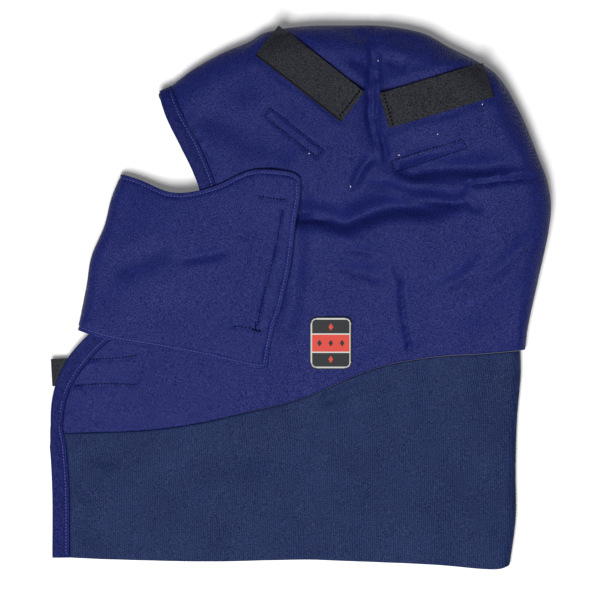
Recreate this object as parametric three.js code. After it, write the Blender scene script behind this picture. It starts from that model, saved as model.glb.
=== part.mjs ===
import * as THREE from 'three';

// Winter liner for a hard hat: a padded hood with a knitted shoulder bib, a folded mouthpiece
// and hook-and-loop straps, laid flat on its side with the face to the left.
// Millimetres. X runs from front to back, Y from hem to crown, Z up from the surface it lies on.

// Overall size of the flat hood
const LENGTH = 357;
const HEIGHT = 387;

// Cloth
const TWILL_WALL = 2.5;
const FACING_WALL = 2.7;
const KNIT_WALL = 2.2;
const MASK_WALL = 2.4;
const FACING_WIDTH = 12.5;

// Clearances
const SEAM_GAP = 0.4;
const KNIT_SEAM_GAP = 0.8;
const LAYER_GAP = 0.35;
const TAPE_SEAT_GAP = 0.55;

// Heights of the near side above the surface, and of the closed edge where the two sides meet
const BIB_HEIGHT = 11;
const CROWN_HEIGHT = 35;
const KNIT_EDGE_HEIGHT = 6;
const CROWN_EDGE_HEIGHT = 13;
const KNIT_EDGE_RADIUS = 8;
const CROWN_EDGE_RADIUS = 22;
const FAR_RADIUS_SHARE = 0.6;
const FOLD_DEPTH = 6;

// Mouthpiece
const MASK_EDGE_HEIGHT = 7.5;
const MASK_FOLD_HEIGHT = 16;
const MASK_FOLD_RADIUS = 8;
const MASK_SETTLE = 50;

// Hook-and-loop tape, fasteners, closure tab and patch
const TAPE_WIDTH = 25.4;
const TAPE_LENGTH = 77;
const TAPE_THICKNESS = 1.15;
const TAPE_PEEK = 1.4;
const FASTENER_WIDTH = 19;
const FASTENER_LENGTH = 93;
const FASTENER_THICKNESS = 1.1;
const TAB_WIDTH = 19.5;
const TAB_LENGTH = 62;
const TAB_THICKNESS = 1.2;
const BADGE_WIDTH = 30;
const BADGE_HEIGHT = 37;
const BADGE_THICKNESS = 1.5;

// How far the far side rises ahead of what lies under it
const LIFT_MARGIN = 10;
const LIFT_FADE = 18;

// Closed edge from the facing's tip over the crown and nape to the knit seam
const CLOSED_EDGE = [
  { along: 0.216, up: 0.872 },
  { along: 0.223, up: 0.881 },
  { along: 0.245, up: 0.890 },
  { along: 0.283, up: 0.917 },
  { along: 0.344, up: 0.949 },
  { along: 0.398, up: 0.970 },
  { along: 0.428, up: 0.986 },
  { along: 0.500, up: 0.998 },
  { along: 0.596, up: 1.000 },
  { along: 0.667, up: 0.999 },
  { along: 0.747, up: 0.985 },
  { along: 0.797, up: 0.960 },
  { along: 0.855, up: 0.933 },
  { along: 0.893, up: 0.908 },
  { along: 0.938, up: 0.840 },
  { along: 0.976, up: 0.755 },
  { along: 0.992, up: 0.716 },
  { along: 1.000, up: 0.672 },
  { along: 0.996, up: 0.625 },
  { along: 0.974, up: 0.527 },
  { along: 0.955, up: 0.443 },
  { along: 0.950, up: 0.404 },
];

// Seam between the facing and the side, from the crown down to the hem, with the facing's width
const FACING_SEAM = [
  { along: 0.2445, up: 0.889, width: 0.86 },
  { along: 0.264, up: 0.842, width: 0.94 },
  { along: 0.298, up: 0.784, width: 1.02 },
  { along: 0.317, up: 0.745, width: 0.97 },
  { along: 0.331, up: 0.710, width: 0.96 },
  { along: 0.342, up: 0.652, width: 0.96 },
  { along: 0.338, up: 0.588, width: 0.96 },
  { along: 0.297, up: 0.525, width: 0.96 },
  { along: 0.231, up: 0.477, width: 0.96 },
  { along: 0.161, up: 0.444, width: 1.00 },
  { along: 0.116, up: 0.418, width: 1.04 },
  { along: 0.070, up: 0.374, width: 1.06 },
  { along: 0.038, up: 0.325, width: 0.85 },
  { along: 0.0265, up: 0.266, width: 0.70 },
  { along: 0.033, up: 0.229, width: 0.95 },
  { along: 0.0395, up: 0.146, width: 0.99 },
  { along: 0.0405, up: 0.0215, width: 1.01 },
];

// Seam between the side and the knitted bib, from front to back
const KNIT_SEAM = [
  { along: 0.029, up: 0.251 },
  { along: 0.188, up: 0.256 },
  { along: 0.283, up: 0.267 },
  { along: 0.379, up: 0.286 },
  { along: 0.500, up: 0.314 },
  { along: 0.652, up: 0.371 },
  { along: 0.721, up: 0.385 },
  { along: 0.786, up: 0.393 },
  { along: 0.862, up: 0.397 },
  { along: 0.950, up: 0.404 },
];

const BIB_FOLD = [
  { along: 0.941, up: 0.4015 },
  { along: 0.941, up: 0.354 },
  { along: 0.934, up: 0.277 },
  { along: 0.931, up: 0.187 },
  { along: 0.931, up: 0.091 },
  { along: 0.919, up: 0.006 },
];

const BIB_HEM = [
  { along: 0.0405, up: 0.0215 },
  { along: 0.131, up: 0.0177 },
  { along: 0.320, up: 0.0142 },
  { along: 0.510, up: 0.0173 },
  { along: 0.633, up: 0.0136 },
  { along: 0.767, up: 0.0081 },
  { along: 0.894, up: 0.0000 },
  { along: 0.919, up: 0.006 },
];

// Mouthpiece outline: fold, top, free end and bottom
const MASK_FOLD = [
  { along: 0.142, up: 0.728 },
  { along: 0.123, up: 0.683 },
  { along: 0.109, up: 0.634 },
  { along: 0.084, up: 0.577 },
  { along: 0.070, up: 0.509 },
  { along: 0.055, up: 0.440 },
];

const MASK_TOP = [
  { along: 0.142, up: 0.728 },
  { along: 0.179, up: 0.717 },
  { along: 0.238, up: 0.694 },
  { along: 0.274, up: 0.692 },
  { along: 0.333, up: 0.705 },
  { along: 0.394, up: 0.730 },
  { along: 0.425, up: 0.734 },
  { along: 0.490, up: 0.726 },
  { along: 0.502, up: 0.716 },
];

const MASK_END = [
  { along: 0.502, up: 0.716 },
  { along: 0.495, up: 0.655 },
  { along: 0.481, up: 0.552 },
  { along: 0.466, up: 0.474 },
  { along: 0.450, up: 0.443 },
  { along: 0.434, up: 0.372 },
];

const MASK_BOTTOM = [
  { along: 0.055, up: 0.440 },
  { along: 0.115, up: 0.423 },
  { along: 0.226, up: 0.405 },
  { along: 0.302, up: 0.392 },
  { along: 0.420, up: 0.369 },
  { along: 0.434, up: 0.372 },
];

// Rows across the side: where each meets the facing seam and the closed edge, as shares of the two
const SIDE_STATIONS = [
  { row: 0.00, front: 0.00, closed: 0.00 },
  { row: 0.12, front: 0.20, closed: 0.10 },
  { row: 0.25, front: 0.45, closed: 0.215 },
  { row: 0.40, front: 0.63, closed: 0.34 },
  { row: 0.55, front: 0.74, closed: 0.48 },
  { row: 0.70, front: 0.83, closed: 0.62 },
  { row: 0.85, front: 0.92, closed: 0.80 },
  { row: 1.00, front: 1.00, closed: 0.95 },
];

// Dents of the near side: a valley from one place to the other, its half width and its depth
const FOLDS = [
  { name: 'crown pleat', along: 0.642, up: 1.00, toAlong: 0.640, toUp: 0.84, reach: 0.030, depth: 1.00 },
  { name: 'pleat foot', along: 0.645, up: 0.83, toAlong: 0.664, toUp: 0.72, reach: 0.034, depth: 0.80 },
  { name: 'eye crease', along: 0.632, up: 0.712, toAlong: 0.750, toUp: 0.683, reach: 0.036, depth: 0.85 },
  { name: 'eye crease end', along: 0.765, up: 0.682, toAlong: 0.839, toUp: 0.678, reach: 0.032, depth: 0.45 },
  { name: 'strap hollow', along: 0.690, up: 0.725, toAlong: 0.838, toUp: 0.750, reach: 0.036, depth: 0.60 },
  { name: 'temple valley', along: 0.520, up: 0.660, toAlong: 0.613, toUp: 0.674, reach: 0.045, depth: 0.45 },
  { name: 'cheek valley', along: 0.568, up: 0.590, toAlong: 0.683, toUp: 0.562, reach: 0.036, depth: 0.35 },
  { name: 'nape dart', along: 0.818, up: 0.703, toAlong: 0.985, toUp: 0.720, reach: 0.026, depth: 0.50 },
  { name: 'neck dart', along: 0.690, up: 0.548, toAlong: 0.721, toUp: 0.395, reach: 0.022, depth: 0.35 },
];

// Straps round the helmet's suspension: the middle of each, its turn from the front-to-back line,
// and how much of the peek its lower tape shows below the upper one
const STRAPS = [
  { name: 'crown_front_strap', along: 0.520, up: 0.909, turn: -38.3, peek: 1 },
  { name: 'crown_back_strap', along: 0.7686, up: 0.8676, turn: 16.7, peek: 0 },
];
const FASTENER = { along: 0.424, up: 0.562, turn: 80.4 };
const TAB = { along: 0.090, up: 0.366, turn: 3 };
const BADGE = { along: 0.561, up: 0.4165, turn: 0 };

// How the near side climbs from the bib to the crown and from the face to the back, in shares
const CLIMB = { from: 0.25, to: 0.80, front: 0.35, faceAlong: 0.10, fullAlong: 0.60 };
const EDGE_CLIMB = { from: 0.38, to: 0.72 };

// Fineness of the faces
const PATH_STEPS = 240;
const ROUND_STEPS = 5;
const SIDE_ROWS = 24;
const NEAR_COLUMNS = 24;
const FAR_COLUMNS = 15;
const BIB_ROWS = 8;
const BIB_COLUMNS = 16;
const MASK_ROWS = 8;
const MASK_COLUMNS = 12;
const FACING_COLUMNS = 2;
const TAPE_STEPS = 12;

const UP = new THREE.Vector3(0, 0, 1);
const smooth = (from, to, value) => THREE.MathUtils.smoothstep(value, from, to);
const mix = THREE.MathUtils.lerp;
const bulge = (share) => Math.sqrt(1 - (1 - Math.min(share, 1)) ** 2);

// A smooth line through a table of places
class Path {
  constructor(rows) {
    const places = rows.map(({ along, up }) => Path.place(along, up));
    this.curve = new THREE.CatmullRomCurve3(places, false, 'centripetal');
    this.curve.arcLengthDivisions = PATH_STEPS;
    this.line = this.curve.getSpacedPoints(PATH_STEPS);
    this.length = this.curve.getLength();
  }

  static place(along, up) {
    return new THREE.Vector3((along - 0.5) * LENGTH, (up - 0.5) * HEIGHT, 0);
  }

  at(share) {
    return this.curve.getPointAt(THREE.MathUtils.clamp(share, 0, 1));
  }

  // Unit vector to the left of the way the line runs
  left(share) {
    const { x, y } = this.curve.getTangentAt(THREE.MathUtils.clamp(share, 0, 1));
    return new THREE.Vector3(-y, x, 0).normalize();
  }

  distance(x, y) {
    let nearest = Infinity;
    for (let i = 1; i < this.line.length; i += 1) {
      nearest = Math.min(nearest, segmentDistance(this.line[i - 1], this.line[i], x, y));
    }
    return nearest;
  }
}

function segmentDistance(start, end, x, y) {
  const [dx, dy] = [end.x - start.x, end.y - start.y];
  const share = ((x - start.x) * dx + (y - start.y) * dy) / (dx * dx + dy * dy);
  const t = THREE.MathUtils.clamp(share, 0, 1);
  return Math.hypot(x - start.x - t * dx, y - start.y - t * dy);
}

const closedEdge = new Path(CLOSED_EDGE);
const facingSeam = new Path(FACING_SEAM);
const knitSeam = new Path(KNIT_SEAM);
const bibFold = new Path(BIB_FOLD);
const bibHem = new Path(BIB_HEM);
const maskFold = new Path(MASK_FOLD);
const maskTopEdge = new Path(MASK_TOP);
const maskEnd = new Path(MASK_END);
const maskBottomEdge = new Path(MASK_BOTTOM);

// Share of the facing seam at which the knit seam meets it
const facingAtKnit = nearestShare(facingSeam, knitSeam.at(0));

function nearestShare(path, point) {
  const gaps = path.line.map((place) => place.distanceTo(point));
  return gaps.indexOf(Math.min(...gaps)) / PATH_STEPS;
}

// Value of a column of a table at a share of its key column
function lookUp(rows, key, column, value) {
  const next = Math.max(1, rows.findIndex((row, i) => i > 0 && row[key] >= value));
  const [a, b] = [rows[next - 1], rows[next]];
  return mix(a[column], b[column], (value - a[key]) / (b[key] - a[key]));
}

const edgeRise = (y) => smooth(EDGE_CLIMB.from, EDGE_CLIMB.to, y / HEIGHT + 0.5);
const edgeHeight = (y) => mix(KNIT_EDGE_HEIGHT, CROWN_EDGE_HEIGHT, edgeRise(y));
const edgeRadius = (y) => mix(KNIT_EDGE_RADIUS, CROWN_EDGE_RADIUS, edgeRise(y));

// Height of the near side's outer face away from its edges
function loft(x, y) {
  const climb = smooth(CLIMB.from, CLIMB.to, y / HEIGHT + 0.5);
  const back = smooth(CLIMB.faceAlong, CLIMB.fullAlong, x / LENGTH + 0.5);
  return BIB_HEIGHT + (CROWN_HEIGHT - BIB_HEIGHT) * climb * mix(CLIMB.front, 1, back);
}

function foldDrop(x, y) {
  let drop = 0;
  for (const { along, up, toAlong, toUp, reach, depth } of FOLDS) {
    const away = segmentDistance(Path.place(along, up), Path.place(toAlong, toUp), x, y);
    const share = Math.min(away / (reach * LENGTH), 1);
    drop += depth * FOLD_DEPTH * (1 - share ** 2) ** 2;
  }
  return drop;
}

// Outer faces of the hood's two sides and of the bib
function nearFace(x, y) {
  const edge = edgeHeight(y) + SEAM_GAP / 2;
  const top = loft(x, y) - foldDrop(x, y);
  return edge + (top - edge) * bulge(closedEdge.distance(x, y) / edgeRadius(y));
}

function farFace(x, y) {
  const edge = edgeHeight(y) - SEAM_GAP / 2;
  const radius = edgeRadius(y) * FAR_RADIUS_SHARE;
  return edge - (edge - farLift(x, y)) * bulge(closedEdge.distance(x, y) / radius);
}

function bibNearFace(x, y) {
  const rise = bulge(bibFold.distance(x, y) / KNIT_EDGE_RADIUS);
  return KNIT_EDGE_HEIGHT + (loft(x, y) - KNIT_EDGE_HEIGHT) * rise;
}

function bibFarFace(x, y) {
  const radius = KNIT_EDGE_RADIUS * FAR_RADIUS_SHARE;
  return KNIT_EDGE_HEIGHT * (1 - bulge(bibFold.distance(x, y) / radius));
}

// Mouthpiece: its near half lies on the fastener and the cheek, its far half on the surface
const MASK_CLEARANCE = LAYER_GAP + FASTENER_THICKNESS + LAYER_GAP;

function maskNearFace(x, y) {
  const away = maskFold.distance(x, y);
  const seated = loft(x, y) + MASK_CLEARANCE + MASK_WALL;
  const top = mix(MASK_FOLD_HEIGHT, seated, smooth(0, MASK_SETTLE, away));
  return MASK_EDGE_HEIGHT + (top - MASK_EDGE_HEIGHT) * bulge(away / MASK_FOLD_RADIUS);
}

function maskFarFace(x, y) {
  return MASK_EDGE_HEIGHT * (1 - bulge(maskFold.distance(x, y) / MASK_EDGE_HEIGHT));
}

// The far side rises over the straps and over the mouthpiece's far half, which lie under it
const maskOutline = [
  ...maskFold.line,
  ...maskBottomEdge.line,
  ...[...maskEnd.line].reverse(),
  ...[...maskTopEdge.line].reverse(),
];

function outsideMask(x, y) {
  let inside = false;
  let nearest = Infinity;
  maskOutline.forEach((end, i) => {
    const start = maskOutline.at(i - 1);
    if ((start.y > y) !== (end.y > y)) {
      const crossing = start.x + ((y - start.y) * (end.x - start.x)) / (end.y - start.y);
      inside = inside !== (x < crossing);
    }
    if (start.distanceTo(end) > 0) nearest = Math.min(nearest, segmentDistance(start, end, x, y));
  });
  return inside ? 0 : nearest;
}

function outsideStrap({ along, up, turn }, x, y) {
  const middle = Path.place(along, up);
  const back = -THREE.MathUtils.degToRad(turn);
  const local = new THREE.Vector3(x, y, 0).sub(middle).applyAxisAngle(UP, back);
  return Math.hypot(
    Math.max(Math.abs(local.x) - TAPE_LENGTH / 2, 0),
    Math.max(Math.abs(local.y) - TAPE_WIDTH / 2 - TAPE_PEEK, 0),
  );
}

const STRAP_STACK = 2 * (TAPE_THICKNESS + LAYER_GAP);
const MASK_STACK = MASK_WALL + MASK_CLEARANCE;

function farLift(x, y) {
  const fade = (away) => 1 - smooth(LIFT_MARGIN, LIFT_MARGIN + LIFT_FADE, away);
  const straps = STRAPS.map((strap) => STRAP_STACK * fade(outsideStrap(strap, x, y)));
  return Math.max(MASK_STACK * fade(outsideMask(x, y)), ...straps);
}

// Shares along a row: evenly spaced at first, and in equal turns round the edge at its end
function roundedShares(length, radius, count) {
  const reach = Math.min(radius, length * 0.6) / length;
  const turned = Array.from({ length: ROUND_STEPS }, (_, i) => {
    const angle = ((ROUND_STEPS - 1 - i) / ROUND_STEPS) * (Math.PI / 2);
    return 1 - reach * (1 - Math.cos(angle));
  });
  const plain = count - ROUND_STEPS;
  const even = Array.from({ length: plain + 1 }, (_, i) => (i / plain) * (1 - reach));
  return [...even, ...turned];
}

// A wall whose outer face is a grid of points, closed by an inner face and four rims.
// square and closed name the sides whose rims stand square to the seam or face sideways;
// limit keeps the inner face on its own side of the level where the hood's two sides meet.
function wall(grid, thickness, { facing, square = [], closed = [], limit = (point) => point }) {
  const [rows, columns] = [grid.length, grid[0].length];
  const clampRow = (j) => grid[THREE.MathUtils.clamp(j, 0, rows - 1)];
  const clampColumn = (row, i) => row[THREE.MathUtils.clamp(i, 0, columns - 1)];
  const at = (j, i) => clampColumn(clampRow(j), i);
  const sides = {
    first: (j) => j === 0,
    last: (j) => j === rows - 1,
    start: (j, i) => i === 0,
    end: (j, i) => i === columns - 1,
  };

  function sideways(j, i, side) {
    const alongRow = side === 'first' || side === 'last';
    const [next, previous] = alongRow ? [at(j, i + 1), at(j, i - 1)] : [at(j + 1, i), at(j - 1, i)];
    const run = next.clone().sub(previous);
    const out = new THREE.Vector3(run.y, -run.x, 0).normalize();
    const inward = alongRow
      ? at(side === 'first' ? j + 1 : j - 1, i)
      : at(j, side === 'start' ? i + 1 : i - 1);
    return inward.clone().sub(at(j, i)).dot(out) > 0 ? out.negate() : out;
  }

  function rawNormal(j, i) {
    const across = at(j, i + 1).clone().sub(at(j, i - 1));
    const down = at(j + 1, i).clone().sub(at(j - 1, i));
    return across.cross(down).normalize();
  }

  const middle = rawNormal(Math.floor(rows / 2), Math.floor(columns * 0.2));
  const sign = Math.sign(middle.z) * facing;

  function inner(j, i) {
    const normal = rawNormal(j, i).multiplyScalar(sign);
    for (const side of closed) {
      if (sides[side](j, i)) normal.copy(sideways(j, i, side));
    }
    for (const side of square) {
      if (sides[side](j, i)) {
        const out = sideways(j, i, side);
        normal.addScaledVector(out, -normal.dot(out)).normalize();
      }
    }
    return limit(at(j, i).clone().addScaledVector(normal, -thickness));
  }

  const innerGrid = grid.map((row, j) => row.map((_, i) => inner(j, i)));
  return solidBetween(grid, innerGrid);
}

// Closed body between two grids of the same size
function solidBetween(outer, innerGrid) {
  const [rows, columns] = [outer.length, outer[0].length];
  const points = [...outer.flat(), ...innerGrid.flat()];
  const skin = rows * columns;
  const index = (layer, j, i) => layer * skin + j * columns + i;
  const faces = [];
  const quad = (a, b, c, d) => {
    const split = points[a].distanceTo(points[c]) <= points[b].distanceTo(points[d]);
    faces.push(...(split ? [a, b, c, a, c, d] : [a, b, d, b, c, d]));
  };
  for (let j = 0; j < rows - 1; j += 1) {
    for (let i = 0; i < columns - 1; i += 1) {
      quad(index(0, j, i), index(0, j, i + 1), index(0, j + 1, i + 1), index(0, j + 1, i));
      quad(index(1, j, i), index(1, j + 1, i), index(1, j + 1, i + 1), index(1, j, i + 1));
    }
  }
  for (let i = 0; i < columns - 1; i += 1) {
    quad(index(0, 0, i + 1), index(0, 0, i), index(1, 0, i), index(1, 0, i + 1));
    const last = rows - 1;
    quad(index(0, last, i), index(0, last, i + 1), index(1, last, i + 1), index(1, last, i));
  }
  for (let j = 0; j < rows - 1; j += 1) {
    quad(index(0, j, 0), index(0, j + 1, 0), index(1, j + 1, 0), index(1, j, 0));
    const end = columns - 1;
    quad(index(0, j + 1, end), index(0, j, end), index(1, j, end), index(1, j + 1, end));
  }
  const geometry = new THREE.BufferGeometry().setFromPoints(points);
  geometry.setIndex(signedVolume(points, faces) < 0 ? faces.reverse() : faces);
  geometry.computeVertexNormals();
  return geometry;
}

function signedVolume(points, faces) {
  let volume = 0;
  for (let i = 0; i < faces.length; i += 3) {
    const [a, b, c] = faces.slice(i, i + 3).map((face) => points[face]);
    volume += a.clone().dot(b.clone().cross(c)) / 6;
  }
  return volume;
}

// Keeps a point of the near or the far side clear of the level where the two sides meet
const onSide = (facing) => (point) => {
  const meeting = edgeHeight(point.y) + (facing * SEAM_GAP) / 2;
  point.z = facing > 0 ? Math.max(point.z, meeting) : Math.min(point.z, meeting);
  return point;
};

const raise = (point, face) => new THREE.Vector3(point.x, point.y, face(point.x, point.y));

// Rows of the side from the knit seam up, closer together where the crown rounds over
const sideRows = roundedShares(LENGTH, CROWN_EDGE_RADIUS, SIDE_ROWS);
const seamShareAtRow = (row) => facingAtKnit * (1 - lookUp(SIDE_STATIONS, 'row', 'front', row));

// One side of the hood in plan, between the facing seam, the knit seam and the closed edge
function sidePlan(columns, radiusShare) {
  const [front, back] = [knitSeam.at(0), knitSeam.at(1)];
  return sideRows.map((row) => {
    const start = facingSeam.at(seamShareAtRow(row));
    const end = closedEdge.at(1 - lookUp(SIDE_STATIONS, 'row', 'closed', row));
    const radius = edgeRadius(end.y) * radiusShare;
    const follow = 1 - smooth(0, SIDE_STATIONS[2].row, row);
    return roundedShares(start.distanceTo(end), radius, columns).map((share) => {
      const sag = knitSeam.at(share).sub(front.clone().lerp(back, share));
      return start.clone().lerp(end, share).addScaledVector(sag, follow);
    });
  });
}

function sidePanel(columns, radiusShare, face, facing) {
  const grid = sidePlan(columns, radiusShare).map((row) => row.map((point) => raise(point, face)));
  return wall(grid, TWILL_WALL, {
    facing,
    square: ['start', 'first'],
    closed: ['last', 'end'],
    limit: onSide(facing),
  });
}

// Facing: a band beside the side and the bib, from the crown down to the hem
function facingBand(face, bibFace, facing) {
  const rowsAbove = [...sideRows].reverse().map(seamShareAtRow);
  const rowsBelow = Array.from({ length: BIB_ROWS }, (_, i) => mix(facingAtKnit, 1, (i + 1) / BIB_ROWS));
  const grid = [...rowsAbove, ...rowsBelow].map((share) => {
    const width = widthAt(share) * FACING_WIDTH;
    const left = facingSeam.left(share).negate();
    const surface = share > facingAtKnit ? bibFace : face;
    return Array.from({ length: FACING_COLUMNS + 1 }, (_, i) => {
      const out = mix(SEAM_GAP, width, i / FACING_COLUMNS);
      return raise(facingSeam.at(share).addScaledVector(left, out), surface);
    });
  });
  return wall(grid, FACING_WALL, {
    facing,
    square: ['start', 'end', 'last'],
    closed: ['first'],
    limit: onSide(facing),
  });
}

const facingStations = FACING_SEAM.map(({ along, up, width }) => ({
  share: nearestShare(facingSeam, Path.place(along, up)),
  width,
}));
const widthAt = (share) => lookUp(facingStations, 'share', 'width', share);

// A place in the area between four lines: left and right run down it, top and bottom across it
function between(left, right, top, bottom, u, v) {
  const across = left(v).lerp(right(v), u);
  const down = top(u).lerp(bottom(u), v);
  const corners = top(0).lerp(top(1), u).lerp(bottom(0).lerp(bottom(1), u), v);
  return across.add(down).sub(corners);
}

// A cloth folded at one end of its columns: the near half, the fold and the far half in one wall
function foldedCloth(plan, nearSurface, farSurface, thickness, square) {
  const grid = plan.map((row) => {
    const near = row.map((point) => raise(point, nearSurface));
    const far = row.slice(0, -1).map((point) => raise(point, farSurface));
    return [...near, ...far.reverse()];
  });
  return wall(grid, thickness, { facing: 1, square });
}

function bib() {
  const top = (u) => knitSeam.at(u * BIB_TOP_SHARE).sub(new THREE.Vector3(0, KNIT_SEAM_GAP, 0));
  const bottom = (u) => bibHem.at(u);
  const gap = (v) => new THREE.Vector3(0, KNIT_SEAM_GAP * (1 - v), 0);
  const front = (v) => facingSeam.at(mix(facingAtKnit, 1, v)).sub(gap(v));
  const back = (v) => bibFold.at(v);
  const plan = Array.from({ length: BIB_ROWS + 1 }, (_, j) => {
    const v = j / BIB_ROWS;
    const shares = roundedShares(front(v).distanceTo(back(v)), KNIT_EDGE_RADIUS, BIB_COLUMNS);
    return shares.map((u) => between(front, back, top, bottom, u, v));
  });
  return foldedCloth(plan, bibNearFace, bibFarFace, KNIT_WALL, ['start', 'end', 'first', 'last']);
}

// The bib is cut a little shorter at the back than the side above it
const BIB_TOP_SHARE = nearestShare(knitSeam, bibFold.at(0));

function mouthpiece() {
  const plan = Array.from({ length: MASK_ROWS + 1 }, (_, j) => {
    const v = j / MASK_ROWS;
    const end = (share) => maskEnd.at(share);
    const fold = (share) => maskFold.at(share);
    const top = (u) => maskTopEdge.at(1 - u);
    const bottom = (u) => maskBottomEdge.at(1 - u);
    const shares = roundedShares(end(v).distanceTo(fold(v)), MASK_FOLD_RADIUS, MASK_COLUMNS);
    return shares.map((u) => between(end, fold, top, bottom, u, v));
  });
  return foldedCloth(plan, maskNearFace, maskFarFace, MASK_WALL, ['start', 'end', 'first', 'last']);
}

// A flat strip laid on a surface: its under face follows base, its top is one thickness above
function strip({ along, up, turn }, { length, width, thickness, base, shift = 0, steps, rounding = 0 }) {
  const middle = Path.place(along, up);
  const angle = THREE.MathUtils.degToRad(turn);
  const across = Math.max(2, Math.round((steps * width) / length));
  const under = Array.from({ length: across + 1 }, (_, j) => {
    const side = j / across - 0.5;
    const trim = length / 2 - (j === 0 || j === across ? rounding : 0);
    return Array.from({ length: steps + 1 }, (_, i) => {
      const run = THREE.MathUtils.clamp((i / steps - 0.5) * length, -trim, trim);
      const local = new THREE.Vector3(run, side * width + shift, 0);
      return raise(local.applyAxisAngle(UP, angle).add(middle), base);
    });
  });
  const over = under.map((row) => row.map((point) => point.clone().addScaledVector(UP, thickness)));
  return solidBetween(over, under);
}

// Straps sit on the crown, and bend no further over its edge than this share of the edge's radius
const STRAP_BEND_SHARE = 0.24;

function crownSeat(x, y) {
  const edge = edgeHeight(y);
  const away = closedEdge.distance(x, y) / edgeRadius(y);
  return edge + (loft(x, y) - edge) * bulge(Math.max(away, STRAP_BEND_SHARE));
}

function strapTape(strap, layer) {
  const rise = TAPE_SEAT_GAP + layer * (TAPE_THICKNESS + LAYER_GAP);
  return strip(strap, {
    ...TAPE,
    base: (x, y) => crownSeat(x, y) + rise,
    shift: layer ? 0 : -TAPE_PEEK * strap.peek,
  });
}

function farStrapTape(strap, layer) {
  const height = (1 - layer) * (TAPE_THICKNESS + LAYER_GAP);
  return strip(strap, { ...TAPE, base: () => height, shift: layer ? 0 : -TAPE_PEEK * strap.peek });
}

const TAPE = { length: TAPE_LENGTH, width: TAPE_WIDTH, thickness: TAPE_THICKNESS, steps: TAPE_STEPS };
const PATCH = { length: FASTENER_LENGTH, width: FASTENER_WIDTH, thickness: FASTENER_THICKNESS, steps: 8 };

// Cloth and tape finishes
const finish = (color, roughness) => new THREE.MeshStandardMaterial({ color, roughness, metalness: 0 });
const twill = () => finish('#282c66', 0.85);
const knit = () => finish('#26325c', 0.95);
const tape = () => finish('#3e4044', 0.75);
const rubber = () => finish('#c84a42', 0.5);

const liner = new THREE.Group();

function add(name, geometry, material) {
  const mesh = new THREE.Mesh(geometry, material);
  mesh.name = name;
  liner.add(mesh);
}

add('side_panel_near', sidePanel(NEAR_COLUMNS, 1, nearFace, 1), twill());
add('side_panel_far', sidePanel(FAR_COLUMNS, FAR_RADIUS_SHARE, farFace, -1), twill());
add('facing_near', facingBand(nearFace, loft, 1), twill());
add('facing_far', facingBand(farFace, farLift, -1), twill());
add('bib', bib(), knit());
add('mouthpiece', mouthpiece(), twill());
const onCheek = (x, y) => loft(x, y) + LAYER_GAP;
const onMask = () => MASK_WALL + LAYER_GAP;
add('mouthpiece_fastener_near', strip(FASTENER, { ...PATCH, base: onCheek }), tape());
add('mouthpiece_fastener_far', strip(FASTENER, { ...PATCH, base: onMask }), tape());
add('neck_tab', strip(TAB, {
  length: TAB_LENGTH,
  width: TAB_WIDTH,
  thickness: TAB_THICKNESS,
  base: (x, y) => loft(x, y) - FACING_WALL - LAYER_GAP - TAB_THICKNESS,
  steps: 5,
}), tape());
for (const strap of STRAPS) {
  add(`${strap.name}_near_lower`, strapTape(strap, 0), tape());
  add(`${strap.name}_near_upper`, strapTape(strap, 1), tape());
  add(`${strap.name}_far_lower`, farStrapTape(strap, 0), tape());
  add(`${strap.name}_far_upper`, farStrapTape(strap, 1), tape());
}
add('badge_patch', strip(BADGE, {
  length: BADGE_WIDTH,
  width: BADGE_HEIGHT,
  thickness: BADGE_THICKNESS,
  base: (x, y) => loft(x, y) + LAYER_GAP,
  steps: 4,
  rounding: BADGE_WIDTH * 0.1,
}), rubber());

export default liner;
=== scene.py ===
"""Dresses the hard hat liner: fine cloth walls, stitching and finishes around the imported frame.

Everything is in metres, in the frame's own axes: X from face to back, Y from hem to crown, Z up.
"""

import logging
import math
from dataclasses import dataclass, replace
from enum import Enum
from typing import Callable, Sequence

import bpy
import numpy as np
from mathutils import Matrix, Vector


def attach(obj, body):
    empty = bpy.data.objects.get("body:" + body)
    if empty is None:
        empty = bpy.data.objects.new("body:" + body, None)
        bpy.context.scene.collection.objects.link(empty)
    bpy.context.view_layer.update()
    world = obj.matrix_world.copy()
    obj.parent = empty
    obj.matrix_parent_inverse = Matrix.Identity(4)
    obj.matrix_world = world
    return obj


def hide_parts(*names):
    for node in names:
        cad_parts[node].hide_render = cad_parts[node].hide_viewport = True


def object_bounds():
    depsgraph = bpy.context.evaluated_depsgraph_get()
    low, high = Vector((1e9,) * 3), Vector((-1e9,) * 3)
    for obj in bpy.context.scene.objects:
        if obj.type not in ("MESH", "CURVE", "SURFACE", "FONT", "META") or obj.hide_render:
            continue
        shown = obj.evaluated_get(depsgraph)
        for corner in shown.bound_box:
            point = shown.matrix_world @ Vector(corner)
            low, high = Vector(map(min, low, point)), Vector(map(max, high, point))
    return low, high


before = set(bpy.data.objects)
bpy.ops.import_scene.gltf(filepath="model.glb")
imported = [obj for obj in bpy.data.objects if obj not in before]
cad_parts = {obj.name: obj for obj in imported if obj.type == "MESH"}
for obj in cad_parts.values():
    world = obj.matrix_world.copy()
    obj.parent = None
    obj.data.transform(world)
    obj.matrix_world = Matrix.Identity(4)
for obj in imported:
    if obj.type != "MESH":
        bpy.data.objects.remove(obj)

LOG = logging.getLogger("liner")
MM = 0.001
Array = np.ndarray
Surface = Callable[[Array], Array]
Places = Sequence[tuple[float, float]]
Colour = tuple[float, float, float]

POINTS_AT_ONCE = 4000

CAD_LOW, CAD_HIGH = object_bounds()
LENGTH = CAD_HIGH.x - CAD_LOW.x
HEIGHT = CAD_HIGH.y - CAD_LOW.y

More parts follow.
